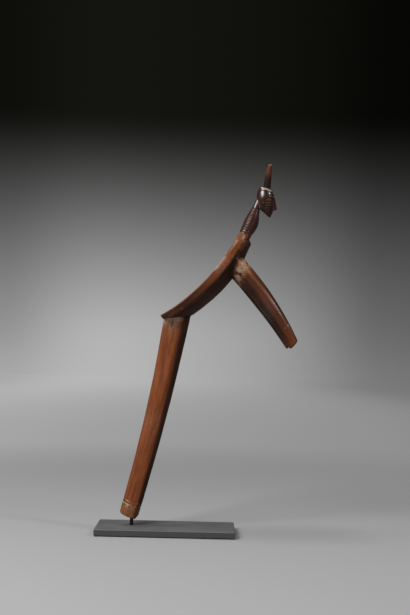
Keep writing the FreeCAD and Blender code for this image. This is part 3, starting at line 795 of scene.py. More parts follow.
def build_front_leg(side, name, node):
    leg, seat_surface = settings().front_leg, surface_of("seat")
    floor, out = stance_plane()
    length = math.hypot(leg.length, leg.foot_spread - leg.root_spread)
    under_seat = length - 46 * MM
    stations = ((0.0, leg.foot_width), (0.5, leg.calf_width), (1.0, leg.root_width))
    rows = [(length, 0.0, i / 6) for i in range(6)]
    rows += [(s, 0.0, 1.0) for s in steps(length, under_seat, 0.55 * MM)]
    rows += [(s, 0.0, 1.0) for s in steps(under_seat, leg.foot_round, 1.2 * MM)]
    rows += [(rise, inset, 1.0) for rise, inset in rounded_rim(leg.foot_round)]
    rows += [(0.0, leg.foot_round, 1.0 - i / 8) for i in range(1, 9)]

    def place(turn, row):
        rise, inset, kept = row
        centre, along = front_leg_point(side, rise)
        across = SIDE.cross(along).normalized()
        beside = along.cross(across)
        half = through(stations, rise / length) / 2
        drift = side * 0.2 + 0.1 * noise.noise(Vector((rise * 12, side, 4.0)))
        radius = half * flats(turn, FRONT_FACETS, drift)
        drawn = kept * max(0.0, 1.0 - inset / half)
        u, v = radius * math.cos(turn) * drawn, radius * math.sin(turn) * drawn
        point = centre + across * u + beside * v
        level = 1.0 - ramp(rise, 6, 34)
        height = (floor - point).dot(out) / -along.dot(out)
        return point + along * ((rise - height) * level), Vector((rise, u, v))

    bm = skin(AROUND["front_leg"], rows, place)
    cove(bm, seat_surface, leg.cove)
    push(bm, lambda v, g: 0.25 * MM * ripple(g, 45, 14) + 0.08 * MM * ripple(g, 16, 5))

    def marks(point, grain):
        rise, u, v = grain
        foot = fade(rise, 20)
        outside = seat_surface.find_nearest(point)[3] or 0.0
        seam = groove(outside, 3.5 * MM)
        root = groove(outside - 13 * MM, 15 * MM) * ease(0.85 + 0.9 * noise.noise(point * 110)) * (1.0 - seam)
        shine = groove(rise - 74 * MM, 24 * MM)
        scuff = groove(rise - 34 * MM, 7 * MM) * ease(3.0 * noise.noise(point * 170) - 0.2)
        # below darkens the leg's lower side: painted shade
        below = ramp(-u, 0, 9)
        # ridge is a painted highlight along the leg's upper side
        ridge = groove(u - 7 * MM, 3 * MM) * ramp(side * v, 0, 4) * (1.0 - foot)
        wear = 0.24 * foot + 0.62 * root + 0.3 * scuff + 0.46 * ridge
        residue = 0.54 * root + 0.3 * scuff + 0.24 * foot
        patina = 0.70 - 0.40 * foot + 0.16 * ripple(grain, 60, 12) - 0.40 * root
        patina += 0.30 * below + 0.50 * seam - 0.12 * ridge
        polish = 0.18 + 0.34 * shine - 0.10 * foot - 0.25 * root - 0.20 * below - 0.20 * seam
        return wear, residue, patina, 0.0, polish

    weather(bm, marks, 0.6)
    finish_piece(bm, name, "stool", "brown_wood", node)


# Neck

def neck_base():
    neck, seat = settings().neck, settings().seat
    top, slope = seat_line(seat.length)
    return top + heading(slope - math.pi / 2) * neck.under_top, slope + neck.tilt


def neck_radius(travelled):
    neck = settings().neck
    swelling = ease((travelled - neck.collar_length) / (neck.barrel_at - neck.collar_length))
    tapering = ease((travelled - neck.barrel_at) / (neck.length - neck.barrel_at))
    barrel = neck.collar_radius + (neck.barrel_radius - neck.collar_radius) * swelling
    return barrel + (neck.top_radius - barrel) * tapering


def neck_sway(travelled):
    """How far back of its axis the middle of the neck lies."""
    neck = settings().neck
    forward = ease(travelled / neck.barrel_at)
    back = ease((travelled - neck.barrel_at) / (neck.length - neck.barrel_at))
    return (
        neck.base_back - (neck.base_back + neck.barrel_forward) * forward
        + (neck.top_back + neck.barrel_forward) * back)


def ring_profile(travelled):
    """Depth below the barrel, from 0 on a ring's back to 1 in the cut between two rings."""
    neck = settings().neck
    place = (travelled - neck.ring_start) / neck.ring_pitch
    if place < -0.5 or place > neck.ring_count - 0.5:
        return 0.0
    off = abs(place - round(place)) * 2
    return max(0.0, 1.0 - off / 0.45) ** 1.4 + 0.10 * (1.0 - off)


def build_neck():
    neck = settings().neck
    base, slope = neck_base()
    axis, back = heading(slope), heading(slope + math.pi / 2)
    start, end, caps = -12 * MM, neck.length + neck.into_head, 5
    rows = [(start, i / caps) for i in range(caps)]
    rows += [(s, 1.0) for s in steps(start, end, 0.32 * MM)]
    rows += [(end, 1.0 - i / caps) for i in range(caps + 1)]

    def place(turn, row):
        travelled, kept = row
        x, y = math.cos(turn), math.sin(turn)
        waver = 0.45 * MM * noise.noise(Vector((x * 1.4, y * 1.4, travelled * 40)))
        cut = ring_profile(travelled + waver) * neck.ring_depth
        cut *= 0.8 + 0.35 * noise.noise(Vector((x * 2, y * 2, travelled * 160)))
        radius = (neck_radius(travelled) - cut) * kept
        u, v = radius * x + neck_sway(travelled), radius * y
        return base + axis * travelled + back * u + SIDE * v, Vector((travelled, u, v))

    bm = skin(AROUND["neck"], rows, place)
    push(bm, lambda v, g: 0.10 * MM * ripple(g, 18, 8))

    def marks(point, grain):
        travelled, u, _ = grain
        cut = ring_profile(travelled)
        border = neck.ring_start - 1.5 * MM + 0.8 * MM * noise.noise(point * 260)
        bare = 1.0 - ramp(travelled - border, -0.7, 1.4)
        bare *= 1.0 - ramp(-u - 0.5 * travelled, 0.5, 2)
        # facet is a painted highlight, a facet of the collar catching the light
        facet = bare * groove(travelled - 3 * MM, 7 * MM) * groove(u - 0.8 * MM, 3.4 * MM)
        # lit is a painted highlight along the collar's back
        lit = bare * ramp(u, 4, 5)
        # nape is a painted highlight where the neck meets the head
        nape = ramp(travelled - neck.length, -9, 4)
        ends = max(ramp(travelled, 42, 12), groove(travelled - 14 * MM, 4 * MM))
        dull = ramp(-u, 1, 5) * (1.0 - nape)
        wear = 0.12 * bare + 0.55 * facet + 0.30 * lit + 0.22 * nape
        residue = 0.60 * facet + 0.24 * lit + 0.25 * nape
        patina = (0.14 + 0.45 * cut) * (1.0 - bare) * (1.0 - 0.6 * nape)
        patina += 0.30 * bare * groove(u - 7 * MM, 2.6 * MM)
        polish = 0.34 + 0.20 * ends - 0.18 * bare + 0.30 * nape - 0.20 * dull
        return wear, residue, patina, 0.09 + 0.86 * bare, polish

    weather(bm, marks, 1.2)
    finish_piece(bm, "neck_carved", "stool", "dark_wood", "neck")


# Head

def head_centre():
    head = settings().head
    return Vector((head.centre_x, 0.0, head.centre_z))


def skull_rows():
    """Levels of the head from the chin to the dome, each as height, middle, half length and half width."""
    r = settings().head.skull_radius / MM
    levels = (
        (-27.5, 8.3, 1.7, 3.2), (-20.5, 5.8, 7.2, 7.0), (-14.5, 2.9, 11.3, 10.4), (-8.5, 1.2, 13.3, 12.4),
        (-3.0, 0.4, 14.6, 13.6), (3.0, 0.0, r, r * 0.95), (10.0, 0.0, r * 0.985, r * 0.945),
        (14.6, -0.2, r * 0.93, r * 0.90), (19.0, -0.6, r * 0.82, r * 0.80), (22.0, -0.8, r * 0.70, r * 0.69),
        (24.8, -0.9, r * 0.55, r * 0.54), (27.0, -1.0, r * 0.06, r * 0.06))
    heights = steps(levels[0][0], levels[-1][0], 0.4) + [levels[-1][0]]
    rows = []
    for height in heights:
        middle, half_length, half_width = (
            through([(level[0], level[i]) for level in levels], height) for i in (1, 2, 3))
        rows.append((height, middle, half_length, half_width))
    foot, top = rows[0], rows[-1]
    under = [(foot[0] - 0.5 * math.cos(math.pi / 2 * i / 6), foot[1], foot[2] * i / 6, foot[3] * i / 6)
             for i in range(6)]
    return under + rows + [(top[0], top[1], 0.0, 0.0)]


def crown_plane():
    """Middle of the sloping crown, in millimetres from the head's centre, and the way up from it."""
    head = settings().head
    middle = Vector((head.crown_ahead, 0.0, head.crown_height)) / MM
    return middle, heading(math.pi / 2 - head.crown_tilt)


def crown_rise(p):
    """Height over the sloping crown of a point in millimetres from the head's centre."""
    middle, up = crown_plane()
    return (p - middle).dot(up)


def cut_crown(bm):
    """Slices the dome off along the crown and bevels its rim."""
    middle, up = crown_plane()
    bmesh.ops.bisect_plane(
        bm, geom=bm.verts[:] + bm.edges[:] + bm.faces[:], plane_co=middle, plane_no=up, clear_outer=True)
    rim = [e for e in bm.edges if e.is_boundary]
    lid = bmesh.ops.edgeloop_fill(bm, edges=rim)["faces"]
    bmesh.ops.bevel(
        bm, geom=[e for face in lid for e in face.edges], offset=settings().head.crown_bevel / MM,
        affect="EDGES", segments=3, profile=0.5, material=-1, clamp_overlap=True)


def add_form(target, form):
    """Joins one bmesh to another and frees it."""
    mesh = mesh_of(form, "form")
    target.from_mesh(mesh)
    bpy.data.meshes.remove(mesh)


def blob(middle, radii, turn=0.0, tilt=0.0):
    """Ellipsoid in millimetres, turned about the upright axis and tilted about the line of sight."""
    bm = bmesh.new()
    bmesh.ops.create_icosphere(bm, subdivisions=4, radius=1.0)
    bmesh.ops.scale(bm, vec=radii, verts=bm.verts)
    for axis, amount in (("X", tilt), ("Z", turn)):
        bmesh.ops.rotate(bm, cent=(0, 0, 0), matrix=rotation(axis, amount), verts=bm.verts)
    bmesh.ops.translate(bm, vec=middle, verts=bm.verts)
    return bm


def rotation(axis, degrees):
    return Matrix.Rotation(math.radians(degrees), 3, axis)


def nose_form():
    """Long straight bar from the forehead to an undercut tip."""
    levels = (
        (15.5, 14.8, 1.5), (11.0, 16.4, 1.6), (-2.0, 18.7, 2.1), (-10.0, 20.3, 2.6), (-13.1, 21.0, 3.0),
        (-15.1, 19.6, 2.9), (-15.8, 17.2, 2.4))
    bm = bmesh.new()
    bmesh.ops.create_circle(bm, cap_ends=True, segments=4, radius=1.0)
    face = bm.faces[:][0]
    for number, (height, front, half) in enumerate(levels):
        if number:
            face = bmesh.ops.extrude_discrete_faces(bm, faces=[face])["faces"][0]
        corners = ((front, -half * 0.9), (front, half * 0.9), (8.0, half), (8.0, -half))
        for vert, (x, y) in zip(face.verts, corners):
            vert.co = (x, y, height)
    bmesh.ops.holes_fill(bm, edges=bm.edges, sides=0)
    bmesh.ops.recalc_face_normals(bm, faces=bm.faces)
    return bm


def ear_form(side):
    """C-shaped ear in relief."""
    bm = bmesh.new()
    ring = bmesh.ops.create_circle(bm, segments=16, radius=1.3)["verts"]
    bmesh.ops.rotate(bm, cent=(0, 0, 0), matrix=rotation("X", 90), verts=ring)
    bmesh.ops.translate(bm, vec=(4.1, 0, 0), verts=ring)
    bmesh.ops.rotate(bm, cent=(0, 0, 0), matrix=rotation("Z", 50), verts=ring)
    bmesh.ops.spin(
        bm, geom=bm.edges[:], cent=(0, 0, 0), axis=(0, 0, 1), angle=math.radians(260), steps=40)
    bmesh.ops.holes_fill(bm, edges=bm.edges, sides=0)
    bmesh.ops.scale(bm, vec=(0.92, 1.18, 1.0), verts=bm.verts)
    bmesh.ops.rotate(bm, cent=(0, 0, 0), matrix=rotation("X", 90), verts=bm.verts)
    bmesh.ops.rotate(bm, cent=(0, 0, 0), matrix=rotation("Z", side * 8), verts=bm.verts)
    bmesh.ops.translate(bm, vec=(-4.2, side * 13.0, -1.0), verts=bm.verts)
    bmesh.ops.recalc_face_normals(bm, faces=bm.faces)
    return bm


def fuse(bm, cell):
    """One closed skin over overlapping forms."""
    lump = place_object("forms", mesh_of(bm, "forms"))
    remesh = lump.modifiers.new("fuse", "REMESH")
    remesh.mode = "VOXEL"
    remesh.voxel_size = cell
    remesh.adaptivity = 0.0
    evaluated = lump.evaluated_get(bpy.context.evaluated_depsgraph_get())
    fused = bmesh.new()
    fused.from_mesh(evaluated.to_mesh())
    evaluated.to_mesh_clear()
    mesh = lump.data
    bpy.data.objects.remove(lump)
    bpy.data.meshes.remove(mesh)
    return fused


def face_cuts(p):
    """Depth of the fine cuts at a point in millimetres: mouth, nose edges, cheek lines and crown groove."""
    side = abs(p.y)
    cut = 0.0
    if p.x > 8 and side < 6.4:
        cut += 0.75 * groove(p.z + 18.2, 0.42) * ease((6.2 - side) / 1.5)
    if p.x > 10:
        cut += 0.90 * groove(side - 4.0, 0.8) * ease((13 - p.z) / 4) * ease((p.z + 14) / 3)
    if side > 4.5:
        for height in (9.2, 5.0, -1.2, -5.6, -10.0):
            line = p.z - height + 0.05 * (p.x - 7.0) ** 2
            cut += 0.85 * groove(line, 0.85) * ease((p.x + 1.0) / 3.0) * ease((13.0 - p.x) / 2.0)
    cut += 0.60 * groove(crown_rise(p) + 4.0, 0.6)
    return cut


def build_head():
    head, neck_surface = settings().head, surface_of("neck")
    bm = bmesh.new()

    def place(turn, row):
        height, middle, half_length, half_width = row
        x, y = math.cos(turn), math.sin(turn)
        return Vector((middle + half_length * x, half_width * y, height)), Vector()

    skull = skin(AROUND["skull"], skull_rows(), place, 1e-4)
    cut_crown(skull)
    add_form(bm, skull)
    add_form(bm, nose_form())
    for side in (-1, 1):
        add_form(bm, blob((8.8, side * 9.4, 0.9), (2.6, 5.0, 2.4), side * 48, side * -12))
        add_form(bm, blob((9.6, side * 8.4, 6.4), (2.6, 6.2, 1.5), side * 42, side * -14))
        add_form(bm, ear_form(side))
    for drop, reach in ((-16.9, 11.2), (-19.9, 10.6)):
        add_form(bm, blob((reach, 0, drop), (3.2, 5.4, 1.7)))
    bmesh.ops.scale(bm, vec=(MM, MM, MM), verts=bm.verts)
    bmesh.ops.translate(bm, vec=head_centre(), verts=bm.verts)
    fused = fuse(bm, head.voxel)
    soften(fused, 2)
    centre = head_centre()
    grain = fused.verts.layers.float_vector.new("grain")
    for vert in fused.verts:
        local = vert.co - centre
        vert[grain] = (local.z, local.x, local.y)

    def carved(vert, grain):
        return 0.08 * MM * ripple(grain, 9, 4) - face_cuts((vert.co - centre) / MM) * MM

    push(fused, carved)

    def marks(point, grain):
        local = (point - centre) / MM
        cut = min(face_cuts(local) * 1.6, 1.0)
        rise = crown_rise(local)
        # rim is a painted highlight on the crown's bevel, with some wear
        rim = ease((rise + 3.7) / 0.8) * (1.0 - ease((rise + 0.2) / 0.5))
        rim *= ease((local.x + 11.0) / 4.0) * (1.0 - ease((local.x - 9.0) / 4.0))
        nose = ease((local.x - 12.2) / 1.2) * (1.0 - ease((abs(local.y) - 3.2) / 0.8))
        off_neck = neck_surface.find_nearest(point)[3] or 0.0
        # nape is a painted highlight along the skull's lower back edge
        nape = groove(off_neck, 1.7 * MM) * ease((8.0 - local.z) / 4.0)
        dome = ease((local.z - 4.0) / 6.0)
        # lit is painted light on the nose's side
        lit = nose * groove(local.x - 13.6 - 0.09 * (6.7 - local.z), 1.0)
        lined = ease((local.x + 4.0) / 9.0) * ease((13.5 - local.x) / 5.0) * ease((local.z + 15.0) / 8.0)
        lined *= 1.0 - dome
        wear = 0.45 * rim + 0.50 * lit + 0.30 * nape + 0.42 * lined * (1.0 - cut)
        # patina here is also painted shade, darker towards the chin under the jaw
        patina = 0.36 + 0.5 * cut - 0.4 * rim + 0.25 * (1.0 - ease((local.z + 16.0) / 8.0))
        warm = 0.12 * nose + 0.25 * lit + 0.14 * lined
        residue = 0.80 * rim + 0.70 * nape
        return wear, residue, patina, warm, 0.20 + 0.80 * dome

    weather(fused, marks, 1.2)
    finish_piece(fused, "head_carved", "stool", "dark_wood", "head")


# Topknot

TOPKNOT_FACETS = ((250, 0.02), (310, 0.025), (190, 0.02), (130, 0.02), (70, 0.02), (10, 0.02))


def build_topknot():
    head = settings().head
    fall = (head.topknot_ahead - head.crown_ahead) * math.tan(head.crown_tilt)
    foot = head_centre() + Vector((head.topknot_ahead, 0.0, head.crown_height - fall))
    along = heading(math.pi / 2 - head.topknot_lean)
    across = SIDE.cross(along).normalized()
    length, rounding = head.topknot_length, 3.0 * MM
    stations = ((0.0, head.topknot_base), (0.45, head.topknot_waist), (1.0, head.topknot_tip))
    start, caps = -5 * MM, 5
    rows = [(start, 0.0, i / caps) for i in range(caps)]
    rows += [(s, 0.0, 1.0) for s in steps(start, length - rounding, 0.5 * MM)]
    rows += [(length - short, inset, 1.0) for short, inset in rounded_rim(rounding)]
    rows += [(length, rounding, 1.0 - i / caps) for i in range(1, caps + 1)]

    def place(turn, row):
        travelled, inset, kept = row
        half = through(stations, travelled / length)
        flare = 0.8 * MM * fade(travelled, 1.4)
        drift = 0.2 * noise.noise(Vector((travelled * 30, 1, 2)))
        radius = ((half + flare) * flats(turn, TOPKNOT_FACETS, drift) - inset) * kept
        u, v = radius * math.cos(turn), radius * math.sin(turn)
        if u < 0:
            u *= 1.0 - head.topknot_paring * ramp(travelled - length, -18, 18)
        slanted = ramp(travelled - length, -14, 14) * u * math.tan(head.topknot_slant)
        return foot + along * (travelled + slanted) + across * u + SIDE * v, Vector((travelled, u, v))

    bm = skin(AROUND["topknot"], rows, place)
    push(bm, lambda v, g: 0.08 * MM * ripple(g, 10, 3))

    def marks(point, grain):
        up = grain[0] / length + 0.08 * noise.noise(point * 120)
        # tip is a painted highlight near the top
        tip = ease((up - 0.90) / 0.10)
        bare = ease((up - 0.20) / 0.50)
        streak = ease(0.5 + 1.2 * ripple(grain, 30, 2.5))
        wear, residue = 0.24 * bare + 0.36 * tip, 0.14 * bare + 0.30 * tip
        patina = 1.0 - 0.85 * bare + 0.60 * streak * (1.0 - tip)
        return wear, residue, patina, 0.58 * bare, 0.05 + 0.40 * tip

    weather(bm, marks, 0.8)
    finish_piece(bm, "topknot_carved", "stool", "dark_wood", "topknot")


# Finishes

def feed(tree, node, **values):
    """Gives a node's inputs sockets or plain values, by name or by number as in_0, in_1 and so on."""
    for name, value in values.items():
        plug = node.inputs[int(name[3:])] if name.startswith("in_") else node.inputs[name.replace("_", " ")]
        if isinstance(value, bpy.types.NodeSocket):
            tree.links.new(value, plug)
        else:
            plug.default_value = (*value, 1.0) if plug.type == "RGBA" else value


def add_node(tree, kind, operation=None, **values):
    node = tree.nodes.new("ShaderNode" + kind)
    if operation:
        node.operation = operation
    feed(tree, node, **values)
    return node


def stretched(tree, vector, along, across):
    """Coordinates that make a texture long along the fibres: both sizes are in metres."""
    return add_node(
        tree, "VectorMath", "MULTIPLY", in_0=vector, in_1=(1 / along, 1 / across, 1 / across)).outputs[0]


def noise_value(tree, vector, along, across, detail=2.0, roughness=0.5, distortion=0.0):
    return add_node(
        tree, "TexNoise", Vector=stretched(tree, vector, along, across), Scale=1.0, Detail=detail,
        Roughness=roughness, Distortion=distortion).outputs["Fac"]


def remap(tree, value, low, high, to_low=0.0, to_high=1.0):
    node = add_node(tree, "MapRange", in_0=value, in_1=low, in_2=high, in_3=to_low, in_4=to_high)
    node.interpolation_type = "SMOOTHSTEP"
    return node.outputs[0]


def maths(tree, operation, first, second):
    return add_node(tree, "Math", operation, in_0=first, in_1=second).outputs[0]


def plus(tree, value, extra, portion):
    """A value with a portion of another added to it."""
    return add_node(tree, "Math", "MULTIPLY_ADD", in_0=extra, in_1=portion, in_2=value).outputs[0]


def mix_colour(tree, factor, first, second):
    node = add_node(tree, "Mix")
    node.data_type = "RGBA"
    feed(tree, node, in_0=factor, in_6=first, in_7=second)
    return node.outputs[2]


def object_place(tree):
    return add_node(tree, "TexCoord").outputs["Object"]


def new_group(name, inputs, outputs):
    """Empty node group, what it is given, and the node that its results go to."""
    group = bpy.data.node_groups.new(name, "ShaderNodeTree")
    for plug, kind in inputs:
        group.interface.new_socket(plug, in_out="INPUT", socket_type=kind)
    for plug, kind in outputs:
        group.interface.new_socket(plug, in_out="OUTPUT", socket_type=kind)
    return group, group.nodes.new("NodeGroupInput").outputs, group.nodes.new("NodeGroupOutput")


def place_group(tree, name, **values):
    node = add_node(tree, "Group")
    node.node_tree = bpy.data.node_groups[name]
    feed(tree, node, **values)
    return node.outputs


FLOAT, VECTOR, COLOUR = "NodeSocketFloat", "NodeSocketVector", "NodeSocketColor"


def wood_figure():
    """Streaks, pores, drying cracks and relief of a dense hardwood, from grain coordinates in metres."""
    group, given, results = new_group(
        "wood_figure", [("Grain", VECTOR)],
        [("Streak", FLOAT), ("Pores", FLOAT), ("Cracks", FLOAT), ("Height", FLOAT)])
    grain = given["Grain"]
    broad = noise_value(group, grain, 0.075, 0.0065, 4.0, 0.6, 0.4)
    fine = noise_value(group, grain, 0.022, 0.0013, 3.0, 0.6)
    streak = plus(group, maths(group, "MULTIPLY", broad, 0.62), fine, 0.38)
    fibre = noise_value(group, grain, 0.009, 0.00045, 2.0, 0.6)
    pores = remap(group, noise_value(group, grain, 0.0042, 0.00038, 1.0), 0.62, 0.70)
    cells = add_node(group, "TexVoronoi", Vector=stretched(group, grain, 0.060, 0.0075), Scale=1.0)
    cells.feature = "DISTANCE_TO_EDGE"
    lines = remap(group, cells.outputs["Distance"], 0.0, 0.030, 1.0, 0.0)
    some = remap(group, noise_value(group, grain, 0.045, 0.012, 1.0), 0.56, 0.64)
    cracks = maths(group, "MULTIPLY", lines, some)
    raised = plus(group, maths(group, "MULTIPLY", fibre, 0.5), pores, -0.5)
    feed(
        group, results, Streak=remap(group, streak, 0.30, 0.70), Pores=pores, Cracks=cracks,
        Height=maths(group, "SUBTRACT", raised, cracks))


def age_marks():
    """Turns the stored wear and residue, painted highlights among them, into broken, streaky masks."""
    group, given, results = new_group(
        "age_marks", [("Grain", VECTOR), ("Wear", FLOAT), ("Residue", FLOAT)],
        [("Rubbed", FLOAT), ("Dusted", FLOAT), ("Grime", FLOAT)])
    grain = given["Grain"]
    streaky = maths(group, "SUBTRACT", noise_value(group, grain, 0.012, 0.0016, 4.0, 0.7), 0.5)
    speck = maths(group, "SUBTRACT", noise_value(group, grain, 0.0030, 0.0011, 3.0, 0.7), 0.5)
    patchy = noise_value(group, grain, 0.018, 0.009, 3.0, 0.6)
    feed(
        group, results, Rubbed=remap(group, plus(group, given["Wear"], streaky, 0.9), 0.22, 0.95),
        Dusted=remap(group, plus(group, given["Residue"], speck, 1.1), 0.30, 0.85),
        Grime=remap(group, patchy, 0.35, 0.70))


def speckle():
    """Fine and coarse unevenness of a coated or blackened metal, from object coordinates."""
    group, given, results = new_group("speckle", [("Position", VECTOR)], [("Fine", FLOAT), ("Cloud", FLOAT)])
    place = given["Position"]
    cloud = remap(group, noise_value(group, place, 0.035, 0.035, 4.0, 0.6), 0.3, 0.7)
    feed(group, results, Fine=noise_value(group, place, 0.0006, 0.0006), Cloud=cloud)


def studio_tone():
    """Backdrop tone along a line of sight: it falls with height and to the right, and glows in the middle."""
    studio = settings().studio
    group, given, results = new_group(
        "studio_tone", [("Rise", FLOAT), ("Across", FLOAT), ("Glow", FLOAT)], [("Tone", COLOUR)])
    height = remap(group, given["Rise"], -0.08, 0.24)
    tone = mix_colour(group, height, studio.backdrop_low, studio.backdrop_high)
    level = remap(group, given["Across"], -0.35, 0.35, 1.5, 0.565)
    off = maths(group, "ADD", given["Across"], 0.015)
    glow = remap(group, maths(group, "MULTIPLY", off, off), 0.0, 0.0376, 0.44, -0.21)
    level = maths(group, "MULTIPLY", level, plus(group, 1.0, glow, given["Glow"]))
    feed(group, results, Tone=add_node(group, "VectorMath", "SCALE", in_0=tone, Scale=level).outputs[0])


def finish_of(slot):
    """The finish made for one of the record's material slots."""
    return bpy.data.materials["finish." + slot]


def new_material(name):
    """Node tree and main shader of a new finish."""
    material = bpy.data.materials.new("finish." + name)
    material.use_nodes = True
    return material.node_tree, material.node_tree.nodes["Principled BSDF"]


def stored(tree, name):
    """Value that a piece keeps at each of its points."""
    node = add_node(tree, "Attribute")
    node.attribute_name = name
    return node.outputs["Vector"] if name == "grain" else node.outputs["Fac"]


def bump(tree, shader, height, strength, depth):
    node = add_node(tree, "Bump", Height=height, Strength=strength, Distance=depth)
    feed(tree, shader, Normal=node.outputs[0])


def streaked(tree, streak, deep, body, light):
    lower = mix_colour(tree, remap(tree, streak, 0.0, 0.55), deep, body)
    return mix_colour(tree, remap(tree, streak, 0.45, 1.0), lower, light)


def wood(name, deep, body, light, patina_share):
    """Carved hardwood: streaks, dark patina where it is handled and painted shade, rubbed edges, pale residue
    in cuts, and painted highlights on rims and lit sides.
    """
    finish = settings().finish
    tree, shader = new_material(name)
    grain, polish = stored(tree, "grain"), stored(tree, "polish")
    figure = place_group(tree, "wood_figure", Grain=grain)
    marks = place_group(
        tree, "age_marks", Grain=grain, Wear=stored(tree, "wear"), Residue=stored(tree, "residue"))
    colour = streaked(tree, figure["Streak"], deep, body, light)
    brown = streaked(tree, figure["Streak"], finish.wood_deep, finish.wood_body, finish.wood_light)
    # the stored patina brings painted shade along with the handled patina
    handled = plus(
        tree, maths(tree, "MULTIPLY", stored(tree, "patina"), patina_share), marks["Grime"], 0.10)
    holes = maths(tree, "MAXIMUM", maths(tree, "MULTIPLY", figure["Pores"], 0.35), figure["Cracks"])
    for mask, portion, covering in (
            (stored(tree, "warm"), 1.0, brown), (handled, 1.0, finish.patina),
            (marks["Rubbed"], 0.75, finish.wood_worn), (marks["Dusted"], 0.70, finish.residue),
            (holes, 0.70, deep)):
        colour = mix_colour(tree, maths(tree, "MULTIPLY", mask, portion), colour, covering)
    rough = plus(tree, remap(tree, polish, 0.0, 1.0, 0.70, 0.28), figure["Streak"], -0.06)
    feed(
        tree, shader, Base_Color=colour, Roughness=plus(tree, rough, marks["Dusted"], 0.20),
        Coat_Weight=remap(tree, polish, 0.05, 1.10), Coat_Roughness=0.28, Coat_IOR=1.8,
        Specular_IOR_Level=0.12)
    bump(tree, shader, figure["Height"], remap(tree, polish, 0.0, 0.9, 0.34, 0.06), 0.25 * MM)


def painted_steel():
    """Slate grey paint, paler on what faces up: dust and a painted sheen."""
    finish = settings().finish
    tree, shader = new_material("painted_steel")
    marks = place_group(tree, "speckle", Position=object_place(tree))
    normal = add_node(tree, "NewGeometry").outputs["Normal"]
    upward = add_node(tree, "SeparateXYZ", Vector=normal).outputs["Z"]
    uneven = remap(tree, marks["Cloud"], 0.0, 1.0, 0.75, 1.0)
    # paler on what faces up: dust and a painted sheen
    dusty = maths(tree, "MULTIPLY", remap(tree, upward, 0.2, 0.9), uneven)
    dusty = plus(tree, dusty, marks["Fine"], 0.08)
    feed(
        tree, shader, Base_Color=mix_colour(tree, dusty, finish.paint, finish.paint_dust),
        Roughness=remap(tree, marks["Cloud"], 0.0, 1.0, 0.42, 0.54))
    bump(tree, shader, marks["Fine"], 0.10, 0.08 * MM)


def dark_steel():
    """Blackened steel, rubbed bare in places."""
    finish = settings().finish
    tree, shader = new_material("dark_steel")
    place = object_place(tree)
    marks = place_group(tree, "speckle", Position=place)
    drawn = noise_value(tree, place, 0.0004, 0.0004)
    rubbed = remap(tree, maths(tree, "MULTIPLY", drawn, marks["Cloud"]), 0.30, 0.60, 0.0, 0.35)
    feed(
        tree, shader, Base_Color=mix_colour(tree, rubbed, finish.steel, finish.steel_bare),
        Roughness=remap(tree, marks["Fine"], 0.3, 0.7, 0.34, 0.48), Metallic=0.85)
    bump(tree, shader, marks["Fine"], 0.08, 0.05 * MM)


def felt():
    """Matted fibres."""
    dark = settings().finish.felt
    tree, shader = new_material("felt")
    fibres = noise_value(tree, object_place(tree), 0.0007, 0.0007, 4.0, 0.7, 1.2)
    colour = mix_colour(tree, fibres, dark, tuple(2.6 * c for c in dark))
    feed(tree, shader, Base_Color=colour, Roughness=0.95, Sheen_Weight=0.25)
    bump(tree, shader, fibres, 0.6, 0.3 * MM)


# Stage

HORIZON_GLOW = 0.55


def horizon_rise():
    """Rise of the line of sight to the floor's far edge."""
    studio = settings().studio
    return -studio.camera_height / studio.floor_radius


def make_floor():
    """Pale floor that turns into the backdrop's tone far away."""
    studio = settings().studio
    bm = bmesh.new()
    bmesh.ops.create_circle(bm, cap_ends=True, segments=96, radius=studio.floor_radius)
    floor = place_object("floor", mesh_of(bm, "floor"))
    tree, shader = new_material("floor")
    feed(tree, shader, Base_Color=studio.floor_tone, Roughness=0.9, Specular_IOR_Level=0.1)
    place = object_place(tree)
    far = add_node(tree, "VectorMath", "LENGTH", in_0=place).outputs["Value"]
    sideways = add_node(tree, "SeparateXYZ", Vector=place).outputs["X"]
    across = maths(tree, "DIVIDE", sideways, maths(tree, "ADD", far, studio.camera_distance))
    across = maths(tree, "MULTIPLY", across, remap(tree, far, 1.5, 8.0, 0.4, 1.0))
    lit = remap(tree, far, 1.5, 8.0, 0.0, HORIZON_GLOW)
    tone = place_group(tree, "studio_tone", Rise=horizon_rise(), Across=across, Glow=lit)["Tone"]
    glow = add_node(tree, "Emission", Color=tone, Strength=1.0).outputs[0]
    distance = remap(tree, far, 0.45, 1.7)
    blend = add_node(tree, "MixShader", in_0=distance, in_1=shader.outputs[0], in_2=glow).outputs[0]
    feed(tree, tree.nodes["Material Output"], Surface=blend)
    floor.data.materials.append(finish_of("floor"))


def make_backdrop():
    """Even light on the stool, and a graded backdrop where it is looked at or mirrored."""
    studio = settings().studio
    world = bpy.data.worlds.new("studio")
    bpy.context.scene.world = world
    world.use_nodes = True
    tree = world.node_tree
    light = tree.nodes["Background"]
    feed(tree, light, Color=(1.0, 1.0, 1.0), Strength=studio.ambient)
    sight = add_node(tree, "SeparateXYZ", Vector=add_node(tree, "TexCoord").outputs["Generated"]).outputs
    lit = remap(tree, sight["Z"], horizon_rise(), 0.03, HORIZON_GLOW, 1.0)
    tone = place_group(tree, "studio_tone", Rise=sight["Z"], Across=sight["X"], Glow=lit)["Tone"]
    shown = add_node(tree, "Background", Color=tone, Strength=1.0)
    path = add_node(tree, "LightPath").outputs
    seen = maths(tree, "MAXIMUM", path["Is Camera Ray"], path["Is Glossy Ray"])
    seen = maths(tree, "MAXIMUM", seen, path["Is Transmission Ray"])
    blend = add_node(tree, "MixShader", in_0=seen, in_1=light.outputs[0], in_2=shown.outputs[0]).outputs[0]
    feed(tree, tree.nodes["World Output"], Surface=blend)


